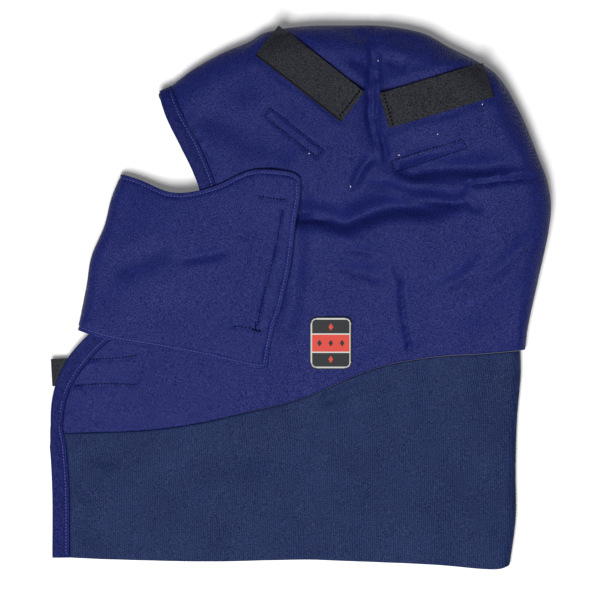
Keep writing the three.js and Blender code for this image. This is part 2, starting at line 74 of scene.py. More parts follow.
# Lines of the flat hood as (along, up) shares of its length and height
CLOSED_EDGE: Places = (
    (0.216, 0.872), (0.223, 0.881), (0.245, 0.890), (0.283, 0.917), (0.344, 0.949), (0.398, 0.970),
    (0.428, 0.986), (0.500, 0.998), (0.596, 1.000), (0.667, 0.999), (0.747, 0.985), (0.797, 0.960),
    (0.855, 0.933), (0.893, 0.908), (0.938, 0.840), (0.976, 0.755), (0.992, 0.716), (1.000, 0.672),
    (0.996, 0.625), (0.974, 0.527), (0.955, 0.443), (0.950, 0.404),
)
FACING_SEAM: Places = (
    (0.2445, 0.889), (0.264, 0.842), (0.298, 0.784), (0.317, 0.745), (0.331, 0.710), (0.342, 0.652),
    (0.338, 0.588), (0.297, 0.525), (0.231, 0.477), (0.161, 0.444), (0.116, 0.418), (0.070, 0.374),
    (0.038, 0.325), (0.0265, 0.266), (0.033, 0.229), (0.0395, 0.146), (0.0405, 0.0215),
)
FACING_WIDTHS = (
    0.86, 0.94, 1.02, 0.97, 0.96, 0.96, 0.96, 0.96, 0.96, 1.00, 1.04, 1.06, 0.85, 0.70, 0.95, 0.99, 1.01,
)
KNIT_SEAM: Places = (
    (0.029, 0.251), (0.188, 0.256), (0.283, 0.267), (0.379, 0.286), (0.500, 0.314), (0.652, 0.371),
    (0.721, 0.385), (0.786, 0.393), (0.862, 0.397), (0.950, 0.404),
)
BIB_FOLD: Places = (
    (0.941, 0.4015), (0.941, 0.354), (0.934, 0.277), (0.931, 0.187), (0.931, 0.091), (0.919, 0.006),
)
BIB_HEM: Places = (
    (0.0405, 0.0215), (0.131, 0.0177), (0.320, 0.0142), (0.510, 0.0173), (0.633, 0.0136),
    (0.767, 0.0081), (0.894, 0.0000), (0.919, 0.006),
)
MASK_FOLD: Places = (
    (0.142, 0.728), (0.123, 0.683), (0.109, 0.634), (0.084, 0.577), (0.070, 0.509), (0.055, 0.440),
)
MASK_TOP: Places = (
    (0.142, 0.728), (0.179, 0.717), (0.238, 0.694), (0.274, 0.692), (0.333, 0.705), (0.394, 0.730),
    (0.425, 0.734), (0.490, 0.726), (0.502, 0.716),
)
MASK_END: Places = (
    (0.502, 0.716), (0.500, 0.683), (0.492, 0.640), (0.481, 0.556), (0.4685, 0.505), (0.461, 0.476),
    (0.4525, 0.4555), (0.447, 0.435), (0.441, 0.410), (0.434, 0.372),
)
MASK_BOTTOM: Places = (
    (0.055, 0.440), (0.115, 0.423), (0.226, 0.405), (0.302, 0.392), (0.420, 0.369), (0.434, 0.372),
)

# Rows across the side: (row, share of the facing seam, share of the closed edge)
SIDE_STATIONS = (
    (0.00, 0.00, 0.00), (0.12, 0.20, 0.10), (0.25, 0.45, 0.215), (0.40, 0.63, 0.34),
    (0.55, 0.74, 0.48), (0.70, 0.83, 0.62), (0.85, 0.92, 0.80), (1.00, 1.00, 0.95),
)


def smooth(low: float, high: float, value: Array) -> Array:
    """Eases from 0 at low to 1 at high."""
    share = np.clip((value - low) / (high - low), 0.0, 1.0)
    return share * share * (3.0 - 2.0 * share)


def mix(first: Array, second: Array, share: Array) -> Array:
    """Blends two values by a share."""
    return first + (second - first) * share


def bulge(share: Array) -> Array:
    """Height of a quarter circle, from 0 at its edge to 1 at its top."""
    return np.sqrt(np.maximum(1.0 - (1.0 - np.clip(share, 0.0, 1.0)) ** 2, 0.0))


def bell(value: Array) -> Array:
    """A soft bump, 1 at nought and 0.37 at one."""
    return np.exp(-value * value)


def place(along: float, up: float) -> Array:
    """Turns shares of the flat hood into a place on the surface that it lies on."""
    return np.array(((along - 0.5) * LENGTH, (up - 0.5) * HEIGHT))


def nearest_on(line: Array, points: Array) -> tuple[Array, Array, Array]:
    """Finds how far points are from a line of short pieces.

    Args:
        line: Places along the line.
        points: Places to measure from.

    Returns:
        The distances, +1 or -1 for the line's left or right side, and the shares along the line.
    """
    start, run = line[:-1], np.diff(line, axis=0)
    squared = np.maximum((run**2).sum(1), 1e-18)
    reached = np.concatenate(([0.0], np.cumsum(np.sqrt(squared))))
    distance, side, along = np.empty(len(points)), np.empty(len(points)), np.empty(len(points))
    for low in range(0, len(points), POINTS_AT_ONCE):
        part = slice(low, low + POINTS_AT_ONCE)
        away = points[part, None] - start
        share = np.clip((away * run).sum(2) / squared, 0.0, 1.0)
        gap = away - share[..., None] * run
        far = (gap**2).sum(2)
        best = far.argmin(1)
        rows = np.arange(len(best))
        distance[part] = np.sqrt(far[rows, best])
        turn = run[best, 0] * away[rows, best, 1] - run[best, 1] * away[rows, best, 0]
        side[part] = np.where(turn >= 0, 1.0, -1.0)
        along[part] = mix(reached[best], reached[best + 1], share[rows, best]) / reached[-1]
    return distance, side, along


class Path:
    """A smooth line through places of the flat hood, measured by its own length."""

    STEPS = 200
    STEPS_BETWEEN_ROWS = 24
    SEARCH_STEPS = 1200
    TANGENT_STEP = 0.002

    def __init__(self, rows: Places) -> None:
        """Runs a centripetal spline through the rows.

        Args:
            rows: Places as (along, up) shares.
        """
        points = np.array([place(*row) for row in rows])
        fine = self._spline(points)
        run = np.concatenate(([0.0], np.cumsum(np.linalg.norm(np.diff(fine, axis=0), axis=1))))
        self.length = float(run[-1])
        self._shares = run / run[-1]
        self._fine = fine
        self.line = self.at(np.linspace(0.0, 1.0, self.STEPS))

    @classmethod
    def _spline(cls, points: Array) -> Array:
        """Works out the spline's fine points.

        Args:
            points: Places, a row of x and y each.

        Returns:
            The values, in the order of what was given.
        """
        padded = np.vstack((2 * points[0] - points[1], points, 2 * points[-1] - points[-2]))
        share = np.linspace(0.0, 1.0, cls.STEPS_BETWEEN_ROWS, endpoint=False)[:, None]
        pieces = []
        for p0, p1, p2, p3 in zip(padded, padded[1:], padded[2:], padded[3:]):
            d0, d1, d2 = (np.linalg.norm(b - a) ** 0.5 for a, b in ((p0, p1), (p1, p2), (p2, p3)))
            leave = ((p1 - p0) / d0 - (p2 - p0) / (d0 + d1) + (p2 - p1) / d1) * d1
            arrive = ((p2 - p1) / d1 - (p3 - p1) / (d1 + d2) + (p3 - p2) / d2) * d1
            bend = -3 * p1 + 3 * p2 - 2 * leave - arrive
            twist = 2 * p1 - 2 * p2 + leave + arrive
            pieces.append(p1 + leave * share + bend * share**2 + twist * share**3)
        return np.vstack((*pieces, points[-1:]))

    def at(self, share: Array) -> Array:
        """Gives the places at shares of the line's length."""
        share = np.clip(share, 0.0, 1.0)
        return np.stack([np.interp(share, self._shares, self._fine[:, k]) for k in (0, 1)], axis=-1)

    def left(self, share: Array) -> Array:
        """Gives the unit vectors to the left of the way the line runs.

        Args:
            share: Shares of the way along.

        Returns:
            The values, in the order of what was given.
        """
        share = np.asarray(share)
        run = self.at(share + self.TANGENT_STEP) - self.at(share - self.TANGENT_STEP)
        run = run / np.linalg.norm(run, axis=-1, keepdims=True)
        return np.stack((-run[..., 1], run[..., 0]), axis=-1)

    def distance(self, points: Array) -> Array:
        """Gives how far points are from the line."""
        return nearest_on(self.line, points)[0]

    def share_near(self, point: Array) -> float:
        """Gives the share of the line at the place nearest to a point."""
        shares = np.linspace(0.0, 1.0, self.SEARCH_STEPS)
        return float(shares[np.linalg.norm(self.at(shares) - point, axis=1).argmin()])


class Ripple:
    """A smooth random field made of plane waves, the same at every run."""

    WAVES = 18
    WAVELENGTH_SHARES = (0.7, 1.6)

    def __init__(self, seed: int, wavelength: float, lean: float = 0.0, spread: float = math.pi) -> None:
        """Draws the waves.

        Args:
            seed: Seed of the draw.
            wavelength: Mean distance between crests.
            lean: Angle of the way the waves travel.
            spread: How far each wave may turn from it.
        """
        draw = np.random.default_rng(seed)
        angles = lean + draw.uniform(-spread, spread, self.WAVES) * 0.5
        numbers = 2 * math.pi / (wavelength * draw.uniform(*self.WAVELENGTH_SHARES, self.WAVES))
        self._waves = np.stack((np.cos(angles), np.sin(angles))) * numbers
        self._phases = draw.uniform(0, 2 * math.pi, self.WAVES)

    def __call__(self, points: Array) -> Array:
        """Gives the field at points, mostly between -1 and 1."""
        return np.sin(points @ self._waves + self._phases).sum(1) / math.sqrt(self.WAVES)


@dataclass(frozen=True)
class Crease:
    """A valley of the cloth that fades at its ends, with a ridge on its left if that is given."""

    name: str
    line: Places
    reach: float
    depth: float
    ridge: float = 0.0
    fade: tuple[float, float] = (0.25, 0.25)

    STEPS = 60
    CREST_AT = 1.9
    DEPTH_GAIN = 1.4

    def lift(self, points: Array) -> Array:
        """Gives the height that the crease adds, which is mostly negative.

        Args:
            points: Places, a row of x and y each.

        Returns:
            The values, in the order of what was given.
        """
        line = Path(self.line).at(np.linspace(0.0, 1.0, self.STEPS))
        away, side, share = nearest_on(line, points)
        strength = smooth(0.0, self.fade[0], share) * smooth(0.0, self.fade[1], 1 - share)
        crest = self.ridge * bell(side * away / self.reach - self.CREST_AT)
        return strength * (crest - self.DEPTH_GAIN * self.depth * bell(away / self.reach))


# Sewn darts, which show as sharp folds
PLEAT_FRONT: Places = (
    (0.643, 1.030), (0.642, 0.937), (0.637, 0.882), (0.636, 0.832), (0.643, 0.794), (0.653, 0.764),
)
PLEAT_BACK: Places = (
    (0.649, 0.965), (0.653, 0.909), (0.654, 0.871), (0.652, 0.823), (0.659, 0.797), (0.667, 0.772),
    (0.671, 0.724),
)
NAPE_DART: Places = ((0.823, 0.703), (0.864, 0.709), (0.932, 0.716), (0.992, 0.722))
NECK_DART: Places = (
    (0.675, 0.554), (0.691, 0.549), (0.699, 0.534), (0.701, 0.505), (0.707, 0.459), (0.721, 0.393),
)

# Creases of the upper side: the pleats at the darts and the dents between them
CREASES = (
    Crease("pleat hollow", ((0.645, 1.030), (0.645, 0.882), (0.647, 0.808), (0.659, 0.753), (0.667, 0.720)),
           12 * MM, 3.0 * MM, 0.0, (0.01, 0.3)),
    Crease("pleat front", PLEAT_FRONT, 2.3 * MM, 2.3 * MM, 0.0, (0.01, 0.3)),
    Crease("pleat back", PLEAT_BACK, 2.3 * MM, 2.2 * MM, 0.0, (0.2, 0.2)),
    Crease("pleat foot", ((0.657, 0.759), (0.631, 0.746), (0.617, 0.727), (0.607, 0.705), (0.599, 0.687)),
           3.5 * MM, 2.6 * MM, 0.9 * MM, (0.3, 0.4)),
    # The deep fold from the mouthpiece to the nape, with the two that run into it
    Crease("temple valley", ((0.470, 0.652), (0.504, 0.654), (0.550, 0.648), (0.589, 0.639), (0.629, 0.654),
                             (0.669, 0.667), (0.709, 0.669), (0.759, 0.667), (0.809, 0.669), (0.851, 0.669)),
           7.5 * MM, 7.4 * MM, 0.0, (0.02, 0.35)),
    Crease("temple fold", ((0.490, 0.639), (0.530, 0.641), (0.560, 0.639)), 1.9 * MM, 1.1 * MM, 0.7 * MM),
    Crease("eye crease", ((0.631, 0.709), (0.655, 0.703), (0.683, 0.698), (0.709, 0.692), (0.735, 0.685),
                          (0.763, 0.681), (0.791, 0.676), (0.819, 0.673), (0.841, 0.676)),
           3.9 * MM, 4.1 * MM, 1.0 * MM, (0.25, 0.2)),
    Crease("strap hollow", ((0.679, 0.716), (0.709, 0.724), (0.749, 0.735), (0.799, 0.738), (0.859, 0.738),
                            (0.908, 0.742), (0.958, 0.744)), 7 * MM, 5.6 * MM, 0.0, (0.15, 0.3)),
    Crease("nape dart", NAPE_DART, 2.2 * MM, 1.9 * MM, 1.0 * MM, (0.1, 0.02)),
    Crease("nape corner", ((0.815, 0.698), (0.831, 0.683), (0.847, 0.667), (0.862, 0.648)),
           5 * MM, 3.2 * MM, 0.0, (0.3, 0.4)),
    Crease("top dent front", ((0.575, 0.997), (0.589, 0.992), (0.613, 0.983), (0.635, 0.970)),
           6 * MM, 2.8 * MM, 0.0, (0.3, 0.2)),
    Crease("top dent back", ((0.671, 0.981), (0.709, 0.972), (0.755, 0.959)),
           6.5 * MM, 3.0 * MM, 0.0, (0.1, 0.4)),
    Crease("under top front", ((0.595, 0.935), (0.639, 0.924)), 4 * MM, 1.3 * MM),
    Crease("under top back", ((0.660, 0.937), (0.712, 0.919)), 4 * MM, 1.3 * MM),
    Crease("cheek upper", ((0.556, 0.600), (0.589, 0.589), (0.629, 0.584), (0.665, 0.582)),
           3.4 * MM, 1.4 * MM, 0.6 * MM, (0.4, 0.3)),
    Crease("cheek lower", ((0.560, 0.573), (0.599, 0.554), (0.639, 0.542), (0.679, 0.525)),
           5.2 * MM, 2.1 * MM, 0.7 * MM, (0.4, 0.3)),
    Crease("neck dart", NECK_DART, 1.8 * MM, 2.0 * MM, 0.7 * MM, (0.1, 0.1)),
    Crease("back diagonal",
           ((0.890, 0.620), (0.874, 0.588), (0.833, 0.545), (0.783, 0.519), (0.735, 0.500)),
           4.5 * MM, 1.4 * MM, 0.7 * MM, (0.4, 0.4)),
    Crease("back diagonal low",
           ((0.975, 0.640), (0.964, 0.619), (0.914, 0.573), (0.864, 0.538), (0.800, 0.490)),
           6 * MM, 1.7 * MM, 0.9 * MM, (0.3, 0.4)),
    Crease("tab end", ((0.176, 0.400), (0.176, 0.370), (0.170, 0.335)), 3 * MM, 0.6 * MM, 0.3 * MM),
    Crease("mask hollow", ((0.502, 0.720), (0.502, 0.652), (0.494, 0.588), (0.484, 0.490), (0.456, 0.400)),
           8 * MM, 3.2 * MM, 0.0, (0.1, 0.3)),
    Crease("brow", ((0.271, 0.858), (0.360, 0.818), (0.440, 0.772), (0.502, 0.757)), 12 * MM, 2.2 * MM),
)


@dataclass
class HoodForm:
    """Heights and outlines that every piece of the hood shares."""

    twill_wall: float = 2.5 * MM
    facing_wall: float = 2.7 * MM
    knit_wall: float = 2.2 * MM
    mask_wall: float = 2.4 * MM
    facing_width: float = 12.5 * MM
    seam_gap: float = 0.4 * MM
    layer_gap: float = 0.35 * MM
    tape_seat_gap: float = 0.55 * MM
    bib_height: float = 11 * MM
    crown_height: float = 35 * MM
    knit_edge_height: float = 6 * MM
    crown_edge_height: float = 13 * MM
    knit_edge_radius: float = 8 * MM
    crown_edge_radius: float = 22 * MM
    far_radius_share: float = 0.6
    mask_edge_height: float = 7.5 * MM
    mask_fold_height: float = 16 * MM
    mask_fold_radius: float = 8 * MM
    mask_settle: float = 50 * MM
    tape_thickness: float = 1.15 * MM
    fastener_thickness: float = 1.1 * MM
    lift_margin: float = 10 * MM
    lift_fade: float = 18 * MM
    strap_bend_share: float = 0.24
    front_loft_share: float = 0.35

    NECK_TO_CROWN = (0.38, 0.72)
    HEM_TO_CROWN = (0.25, 0.80)
    FACE_TO_BACK = (0.10, 0.60)

    def __post_init__(self) -> None:
        """Lays out the lines once."""
        self.closed = Path(CLOSED_EDGE)
        self.seam = Path(FACING_SEAM)
        self.knit = Path(KNIT_SEAM)
        self.bib_fold = Path(BIB_FOLD)
        self.bib_hem = Path(BIB_HEM)
        self.mask_fold = Path(MASK_FOLD)
        self.mask_top = Path(MASK_TOP)
        self.mask_end = Path(MASK_END)
        self.mask_bottom = Path(MASK_BOTTOM)
        self.seam_at_knit = self.seam.share_near(self.knit.at(0.0))
        self.mask_clearance = 2 * self.layer_gap + self.fastener_thickness
        self.mask_outline = np.vstack(
            (self.mask_fold.line, self.mask_bottom.line, self.mask_end.line[::-1], self.mask_top.line[::-1])
        )

    def edge_height(self, points: Array) -> Array:
        """Height at which the two sides meet."""
        rise = smooth(*self.NECK_TO_CROWN, points[:, 1] / HEIGHT + 0.5)
        return mix(self.knit_edge_height, self.crown_edge_height, rise)

    def edge_radius(self, points: Array) -> Array:
        """How far in from the closed edge the side rounds over."""
        rise = smooth(*self.NECK_TO_CROWN, points[:, 1] / HEIGHT + 0.5)
        return mix(self.knit_edge_radius, self.crown_edge_radius, rise)

    def loft(self, points: Array) -> Array:
        """Height of the near side away from its edges.

        Args:
            points: Places, a row of x and y each.

        Returns:
            The values, in the order of what was given.
        """
        climb = smooth(*self.HEM_TO_CROWN, points[:, 1] / HEIGHT + 0.5)
        back = smooth(*self.FACE_TO_BACK, points[:, 0] / LENGTH + 0.5)
        swell = climb * mix(self.front_loft_share, 1.0, back)
        return self.bib_height + (self.crown_height - self.bib_height) * swell

    def creased(self, points: Array) -> Array:
        """Height that all creases add together."""
        return sum(crease.lift(points) for crease in CREASES)

    def near_limit(self, points: Array) -> Array:
        """Height that the near side's inside never sinks below."""
        return self.edge_height(points) + self.seam_gap / 2

    def far_limit(self, points: Array) -> Array:
        """Height that the far side's inside never rises above."""
        return self.edge_height(points) - self.seam_gap / 2

    def near(self, points: Array) -> Array:
        """Outer face of the near side, without its creases."""
        return self._rounded(points, self.loft(points))

    def near_creased(self, points: Array) -> Array:
        """Outer face of the near side with its creases."""
        return self._rounded(points, self.loft(points) + self.creased(points))

    def _rounded(self, points: Array, top: Array) -> Array:
        """Rounds the near side over at its closed edge."""
        edge = self.near_limit(points)
        return edge + (top - edge) * bulge(self.closed.distance(points) / self.edge_radius(points))

    def far(self, points: Array) -> Array:
        """Outer face of the far side, which lies on the surface below.

        Args:
            points: Places, a row of x and y each.

        Returns:
            The values, in the order of what was given.
        """
        edge = self.far_limit(points)
        radius = self.edge_radius(points) * self.far_radius_share
        return edge - (edge - self.lift(points)) * bulge(self.closed.distance(points) / radius)

    def lift(self, points: Array) -> Array:
        """How far the far side is raised by the straps and the mouthpiece under it.

        Args:
            points: Places, a row of x and y each.

        Returns:
            The values, in the order of what was given.
        """
        stack = 2 * (self.tape_thickness + self.layer_gap)
        raised = self._fade(self.outside_mask(points)) * (self.mask_wall + self.mask_clearance)
        for strap in (FRONT_STRAP, BACK_STRAP):
            raised = np.maximum(raised, self._fade(strap.outside(points)) * stack)
        return raised

    def _fade(self, away: Array) -> Array:
        """Share of a lift that is left at a distance."""
        return 1 - smooth(self.lift_margin, self.lift_margin + self.lift_fade, away)

    def outside_mask(self, points: Array) -> Array:
        """How far points lie outside the mouthpiece's outline, and 0 inside it.

        Args:
            points: Places, a row of x and y each.

        Returns:
            The values, in the order of what was given.
        """
        ends, starts = self.mask_outline, np.roll(self.mask_outline, 1, axis=0)
        inside = np.zeros(len(points), bool)
        for (x0, y0), (x1, y1) in zip(starts, ends):
            if y0 != y1:
                crosses = (y0 > points[:, 1]) != (y1 > points[:, 1])
                inside ^= crosses & (points[:, 0] < x0 + (points[:, 1] - y0) * (x1 - x0) / (y1 - y0))
        return np.where(inside, 0.0, nearest_on(self.mask_outline, points)[0])

    def bib_near(self, points: Array) -> Array:
        """Outer face of the bib's upper layer."""
        rise = bulge(self.bib_fold.distance(points) / self.knit_edge_radius)
        return self.knit_edge_height + (self.loft(points) - self.knit_edge_height) * rise

    def bib_far(self, points: Array) -> Array:
        """Outer face of the bib's lower layer."""
        radius = self.knit_edge_radius * self.far_radius_share
        return self.knit_edge_height * (1 - bulge(self.bib_fold.distance(points) / radius))

    def mask_near(self, points: Array) -> Array:
        """Outer face of the mouthpiece's upper half.

        Args:
            points: Places, a row of x and y each.

        Returns:
            The values, in the order of what was given.
        """
        away = self.mask_fold.distance(points)
        seated = self.loft(points) + self.mask_clearance + self.mask_wall
        top = mix(self.mask_fold_height, seated, smooth(0, self.mask_settle, away))
        return self.mask_edge_height + (top - self.mask_edge_height) * bulge(away / self.mask_fold_radius)

    def mask_far(self, points: Array) -> Array:
        """Outer face of the mouthpiece's lower half."""
        return self.mask_edge_height * (1 - bulge(self.mask_fold.distance(points) / self.mask_edge_height))

    def crown_seat(self, points: Array) -> Array:
        """Surface that the straps lie on: the near side, bent no further than the tape bends.

        Args:
            points: Places, a row of x and y each.

        Returns:
            The values, in the order of what was given.
        """
        edge = self.edge_height(points)
        away = self.closed.distance(points) / self.edge_radius(points)
        return edge + (self.loft(points) - edge) * bulge(np.maximum(away, self.strap_bend_share))

    def side_row(self, row: Array) -> tuple[Array, Array]:
        """Gives where rows of the side start on the facing seam and end on the closed edge."""
        rows, fronts, closes = np.array(SIDE_STATIONS).T
        start = self.seam_at_knit * (1 - np.interp(row, rows, fronts))
        return start, 1 - np.interp(row, rows, closes)


@dataclass(frozen=True)
class Footprint:
    """A rectangle on the flat hood: its middle, its turn and its size."""

    along: float
    up: float
    turn: float
    length: float
    width: float

    def local(self, points: Array) -> Array:
        """Turns places of the hood into places of the rectangle.

        Args:
            points: Places, a row of x and y each.

        Returns:
            The values, in the order of what was given.
        """
        angle = math.radians(self.turn)
        away = points - place(self.along, self.up)
        ahead = away @ np.array((math.cos(angle), math.sin(angle)))
        aside = away @ np.array((-math.sin(angle), math.cos(angle)))
        return np.stack((ahead, aside), axis=-1)

    def world(self, ahead: Array, aside: Array) -> Array:
        """Turns places of the rectangle into places of the hood."""
        angle = math.radians(self.turn)
        x = ahead * math.cos(angle) - aside * math.sin(angle)
        y = ahead * math.sin(angle) + aside * math.cos(angle)
        return np.stack((x, y), axis=-1) + place(self.along, self.up)

    def outside(self, points: Array) -> Array:
        """How far points lie outside the rectangle."""
        over = np.abs(self.local(points)) - np.array((self.length, self.width)) / 2
        return np.linalg.norm(np.maximum(over, 0.0), axis=1)


TAPE_WIDTH = 25.4 * MM
TAPE_LENGTH = 77 * MM
TAPE_PEEK = 1.4 * MM
FRONT_STRAP = Footprint(0.520, 0.909, -38.3, TAPE_LENGTH, TAPE_WIDTH + 2 * TAPE_PEEK)
BACK_STRAP = Footprint(0.7686, 0.8676, 16.7, TAPE_LENGTH, TAPE_WIDTH + 2 * TAPE_PEEK)
FASTENER = Footprint(0.424, 0.562, 80.4, 93 * MM, 19 * MM)
NECK_TAB = Footprint(0.090, 0.366, 3.0, 62 * MM, 19.5 * MM)
BADGE = Footprint(0.561, 0.4165, 0.0, 30 * MM, 37 * MM)


class Spacing(Enum):
    """How a grid's lines gather at one of its sides, in metres from it."""

    SEAM = tuple(v * MM for v in (0.0, 0.25, 0.55, 0.9, 1.3, 1.8, 2.4, 3.2, 4.2, 5.4))
    HEM = tuple(v * MM for v in (0.0, 0.12, 0.3, 0.55, 0.85, 1.2, 1.6, 2.0, 2.4, 2.9, 3.6, 4.6))


# The most of a row's length that its two gathered ends take
MOST_GATHERED = 0.8


def round_spacing(radius: float, steps: int = 14) -> tuple[float, ...]:
    """Distances from a rounded edge that turn by equal angles."""
    return tuple(radius * (1 - math.cos(math.pi / 2 * i / steps)) for i in range(steps + 1))


def shares_across(length: float, first: Sequence[float], last: Sequence[float], even: int) -> Array:
    """Spaces a row: gathered at both ends and even between.

    Args:
        length: The row's length.
        first: Distances from its start.
        last: Distances from its end.
        even: Number of even steps between.

    Returns:
        Shares of the row, from 0 to 1.
    """
    first, last = np.array(first), np.array(last)
    scale = min(1.0, MOST_GATHERED * length / (first[-1] + last[-1]))
    first, last = first * scale / length, last * scale / length
    middle = np.linspace(first[-1], 1 - last[-1], even + 1)[1:-1]
    return np.concatenate((first, middle, 1 - last[::-1]))


class Rim(Enum):
    """How a wall ends at one of its sides."""

    SQUARE = "square to the seam"
    CLOSED = "sideways"


RIM_PLACES = {"first": np.s_[0, :], "last": np.s_[-1, :], "start": np.s_[:, 0], "end": np.s_[:, -1]}
BESIDE_RIMS = {"first": np.s_[1, :], "last": np.s_[-2, :], "start": np.s_[:, 1], "end": np.s_[:, -2]}


@dataclass
class ClothWall:
    """A closed wall of cloth over a grid of points."""

    name: str
    base: Array
    thickness: float
    rims: dict[str, Rim]
    detail: Array | float = 0.0
    under_limit: Surface | None = None
    upward: float = 1.0

    def normals(self) -> Array:
        """Unit vectors out of the grid, set square or sideways at its rims.

        Returns:
            The values, in the order of what was given.
        """
        across = np.gradient(self.base, axis=1)
        down = np.gradient(self.base, axis=0)
        normal = np.cross(across, down)
        normal /= np.maximum(np.linalg.norm(normal, axis=2, keepdims=True), 1e-12)
        rows, columns = normal.shape[:2]
        if normal[rows // 2, columns // 5, 2] * self.upward < 0:
            normal = -normal
        ordered = sorted(self.rims.items(), key=lambda item: item[1] is Rim.SQUARE)
        for side, rim in ordered:
            take, inner = RIM_PLACES[side], BESIDE_RIMS[side]
            line = self.base[take]
            run = np.gradient(line, axis=0)
            out = np.stack((run[:, 1], -run[:, 0], np.zeros(len(run))), axis=1)
            out /= np.maximum(np.linalg.norm(out, axis=1, keepdims=True), 1e-12)
            inward = ((self.base[inner] - line) * out).sum(1).sum() > 0
            out = -out if inward else out
            if rim is Rim.CLOSED:
                normal[take] = out
                normal[inner] = out
            else:
                squared = normal[take] - out * (normal[take] * out).sum(1, keepdims=True)
                normal[take] = squared / np.maximum(np.linalg.norm(squared, axis=1, keepdims=True), 1e-12)
        return normal

    def build(self) -> bpy.types.Object:
        """Makes the mesh object.

        Returns:
            The object.
        """
        normal = self.normals()
        detail = np.array(np.broadcast_to(np.asarray(self.detail, float), self.base.shape[:2]))
        for side, rim in self.rims.items():
            if rim is Rim.CLOSED:
                detail[RIM_PLACES[side]] = 0.0
        outer = self.base + normal * detail[..., None]
        inner = self.base - normal * self.thickness
        if self.under_limit is not None:
            level = self.under_limit(inner[..., :2].reshape(-1, 2)).reshape(inner.shape[:2])
            keep = np.maximum if self.upward > 0 else np.minimum
            inner[..., 2] = keep(inner[..., 2], level)
        return grid_solid(self.name, outer, inner)


def grid_solid(name: str, outer: Array, inner: Array) -> bpy.types.Object:
    """Joins two grids of points into one closed mesh.

    Args:
        name: Name of the new object.
        outer: Grid of the outer face.
        inner: Grid of the inner face.

    Returns:
        The linked object, smooth where its faces nearly agree.
    """
    rows, columns = outer.shape[:2]
    top = np.arange(rows * columns).reshape(rows, columns)
    low = top + rows * columns
    faces = [
        np.stack((top[:-1, :-1], top[:-1, 1:], top[1:, 1:], top[1:, :-1]), -1).reshape(-1, 4),
        np.stack((low[:-1, :-1], low[1:, :-1], low[1:, 1:], low[:-1, 1:]), -1).reshape(-1, 4),
        np.stack((top[0, 1:], top[0, :-1], low[0, :-1], low[0, 1:]), -1),
        np.stack((top[-1, :-1], top[-1, 1:], low[-1, 1:], low[-1, :-1]), -1),
        np.stack((top[:-1, 0], top[1:, 0], low[1:, 0], low[:-1, 0]), -1),
        np.stack((top[1:, -1], top[:-1, -1], low[:-1, -1], low[1:, -1]), -1),
    ]
    points = np.vstack((outer.reshape(-1, 3), inner.reshape(-1, 3)))
    return mesh_object(name, points, np.vstack(faces))


def closed_tube(name: str, rings: Array) -> bpy.types.Object:
    """Joins rings of points into a tube that is closed at both ends."""
    count, sides = rings.shape[:2]
    index = np.arange(count * sides).reshape(count, sides)
    after = np.roll(index, -1, axis=1)
    faces = np.stack((index[:-1], after[:-1], after[1:], index[1:]), -1).reshape(-1, 4)
    caps = []
    for ring in (index[0], index[-1][::-1]):
        caps += [(ring[0], ring[k + 2], ring[k + 1], ring[k]) for k in range(1, sides - 2, 2)]
    return mesh_object(name, rings.reshape(-1, 3), np.vstack((faces, np.array(caps))))


def mesh_object(name: str, points: Array, faces: Array, sharp: float = 50.0) -> bpy.types.Object:
    """Makes a linked mesh object whose faces look outward."""
    a, b, c = (points[faces[:, i]] for i in (0, 1, 2))
    volume = (a * np.cross(b, c)).sum()
    if faces.shape[1] == 4:
        volume += (a * np.cross(c, points[faces[:, 3]])).sum()
    if volume < 0:
        faces = faces[:, ::-1]
    mesh = bpy.data.meshes.new(name)
    mesh.from_pydata(points.tolist(), [], faces.tolist())
    mesh.shade_smooth()
    mesh.set_sharp_from_angle(angle=math.radians(sharp))
    thing = bpy.data.objects.new(name, mesh)
    bpy.context.scene.collection.objects.link(thing)
    return thing


def raise_grid(plan: Array, surface: Surface) -> Array:
    """Lifts a grid of places on to a surface."""
    heights = surface(plan.reshape(-1, 2)).reshape(plan.shape[:2])
    return np.concatenate((plan, heights[..., None]), axis=2)


def hem_roll(away: Array, drop: float = 0.9 * MM, reach: float = 1.3 * MM) -> Array:
    """Rounds the cloth over its turned edge."""
    return -drop * (1 - bulge(away / reach))


def stitched_dip(away: Array, at: float, depth: float = 0.35 * MM, reach: float = 0.7 * MM) -> Array:
    """Dip that a row of stitches pulls into the cloth."""
    return -depth * bell((away - at) / reach)


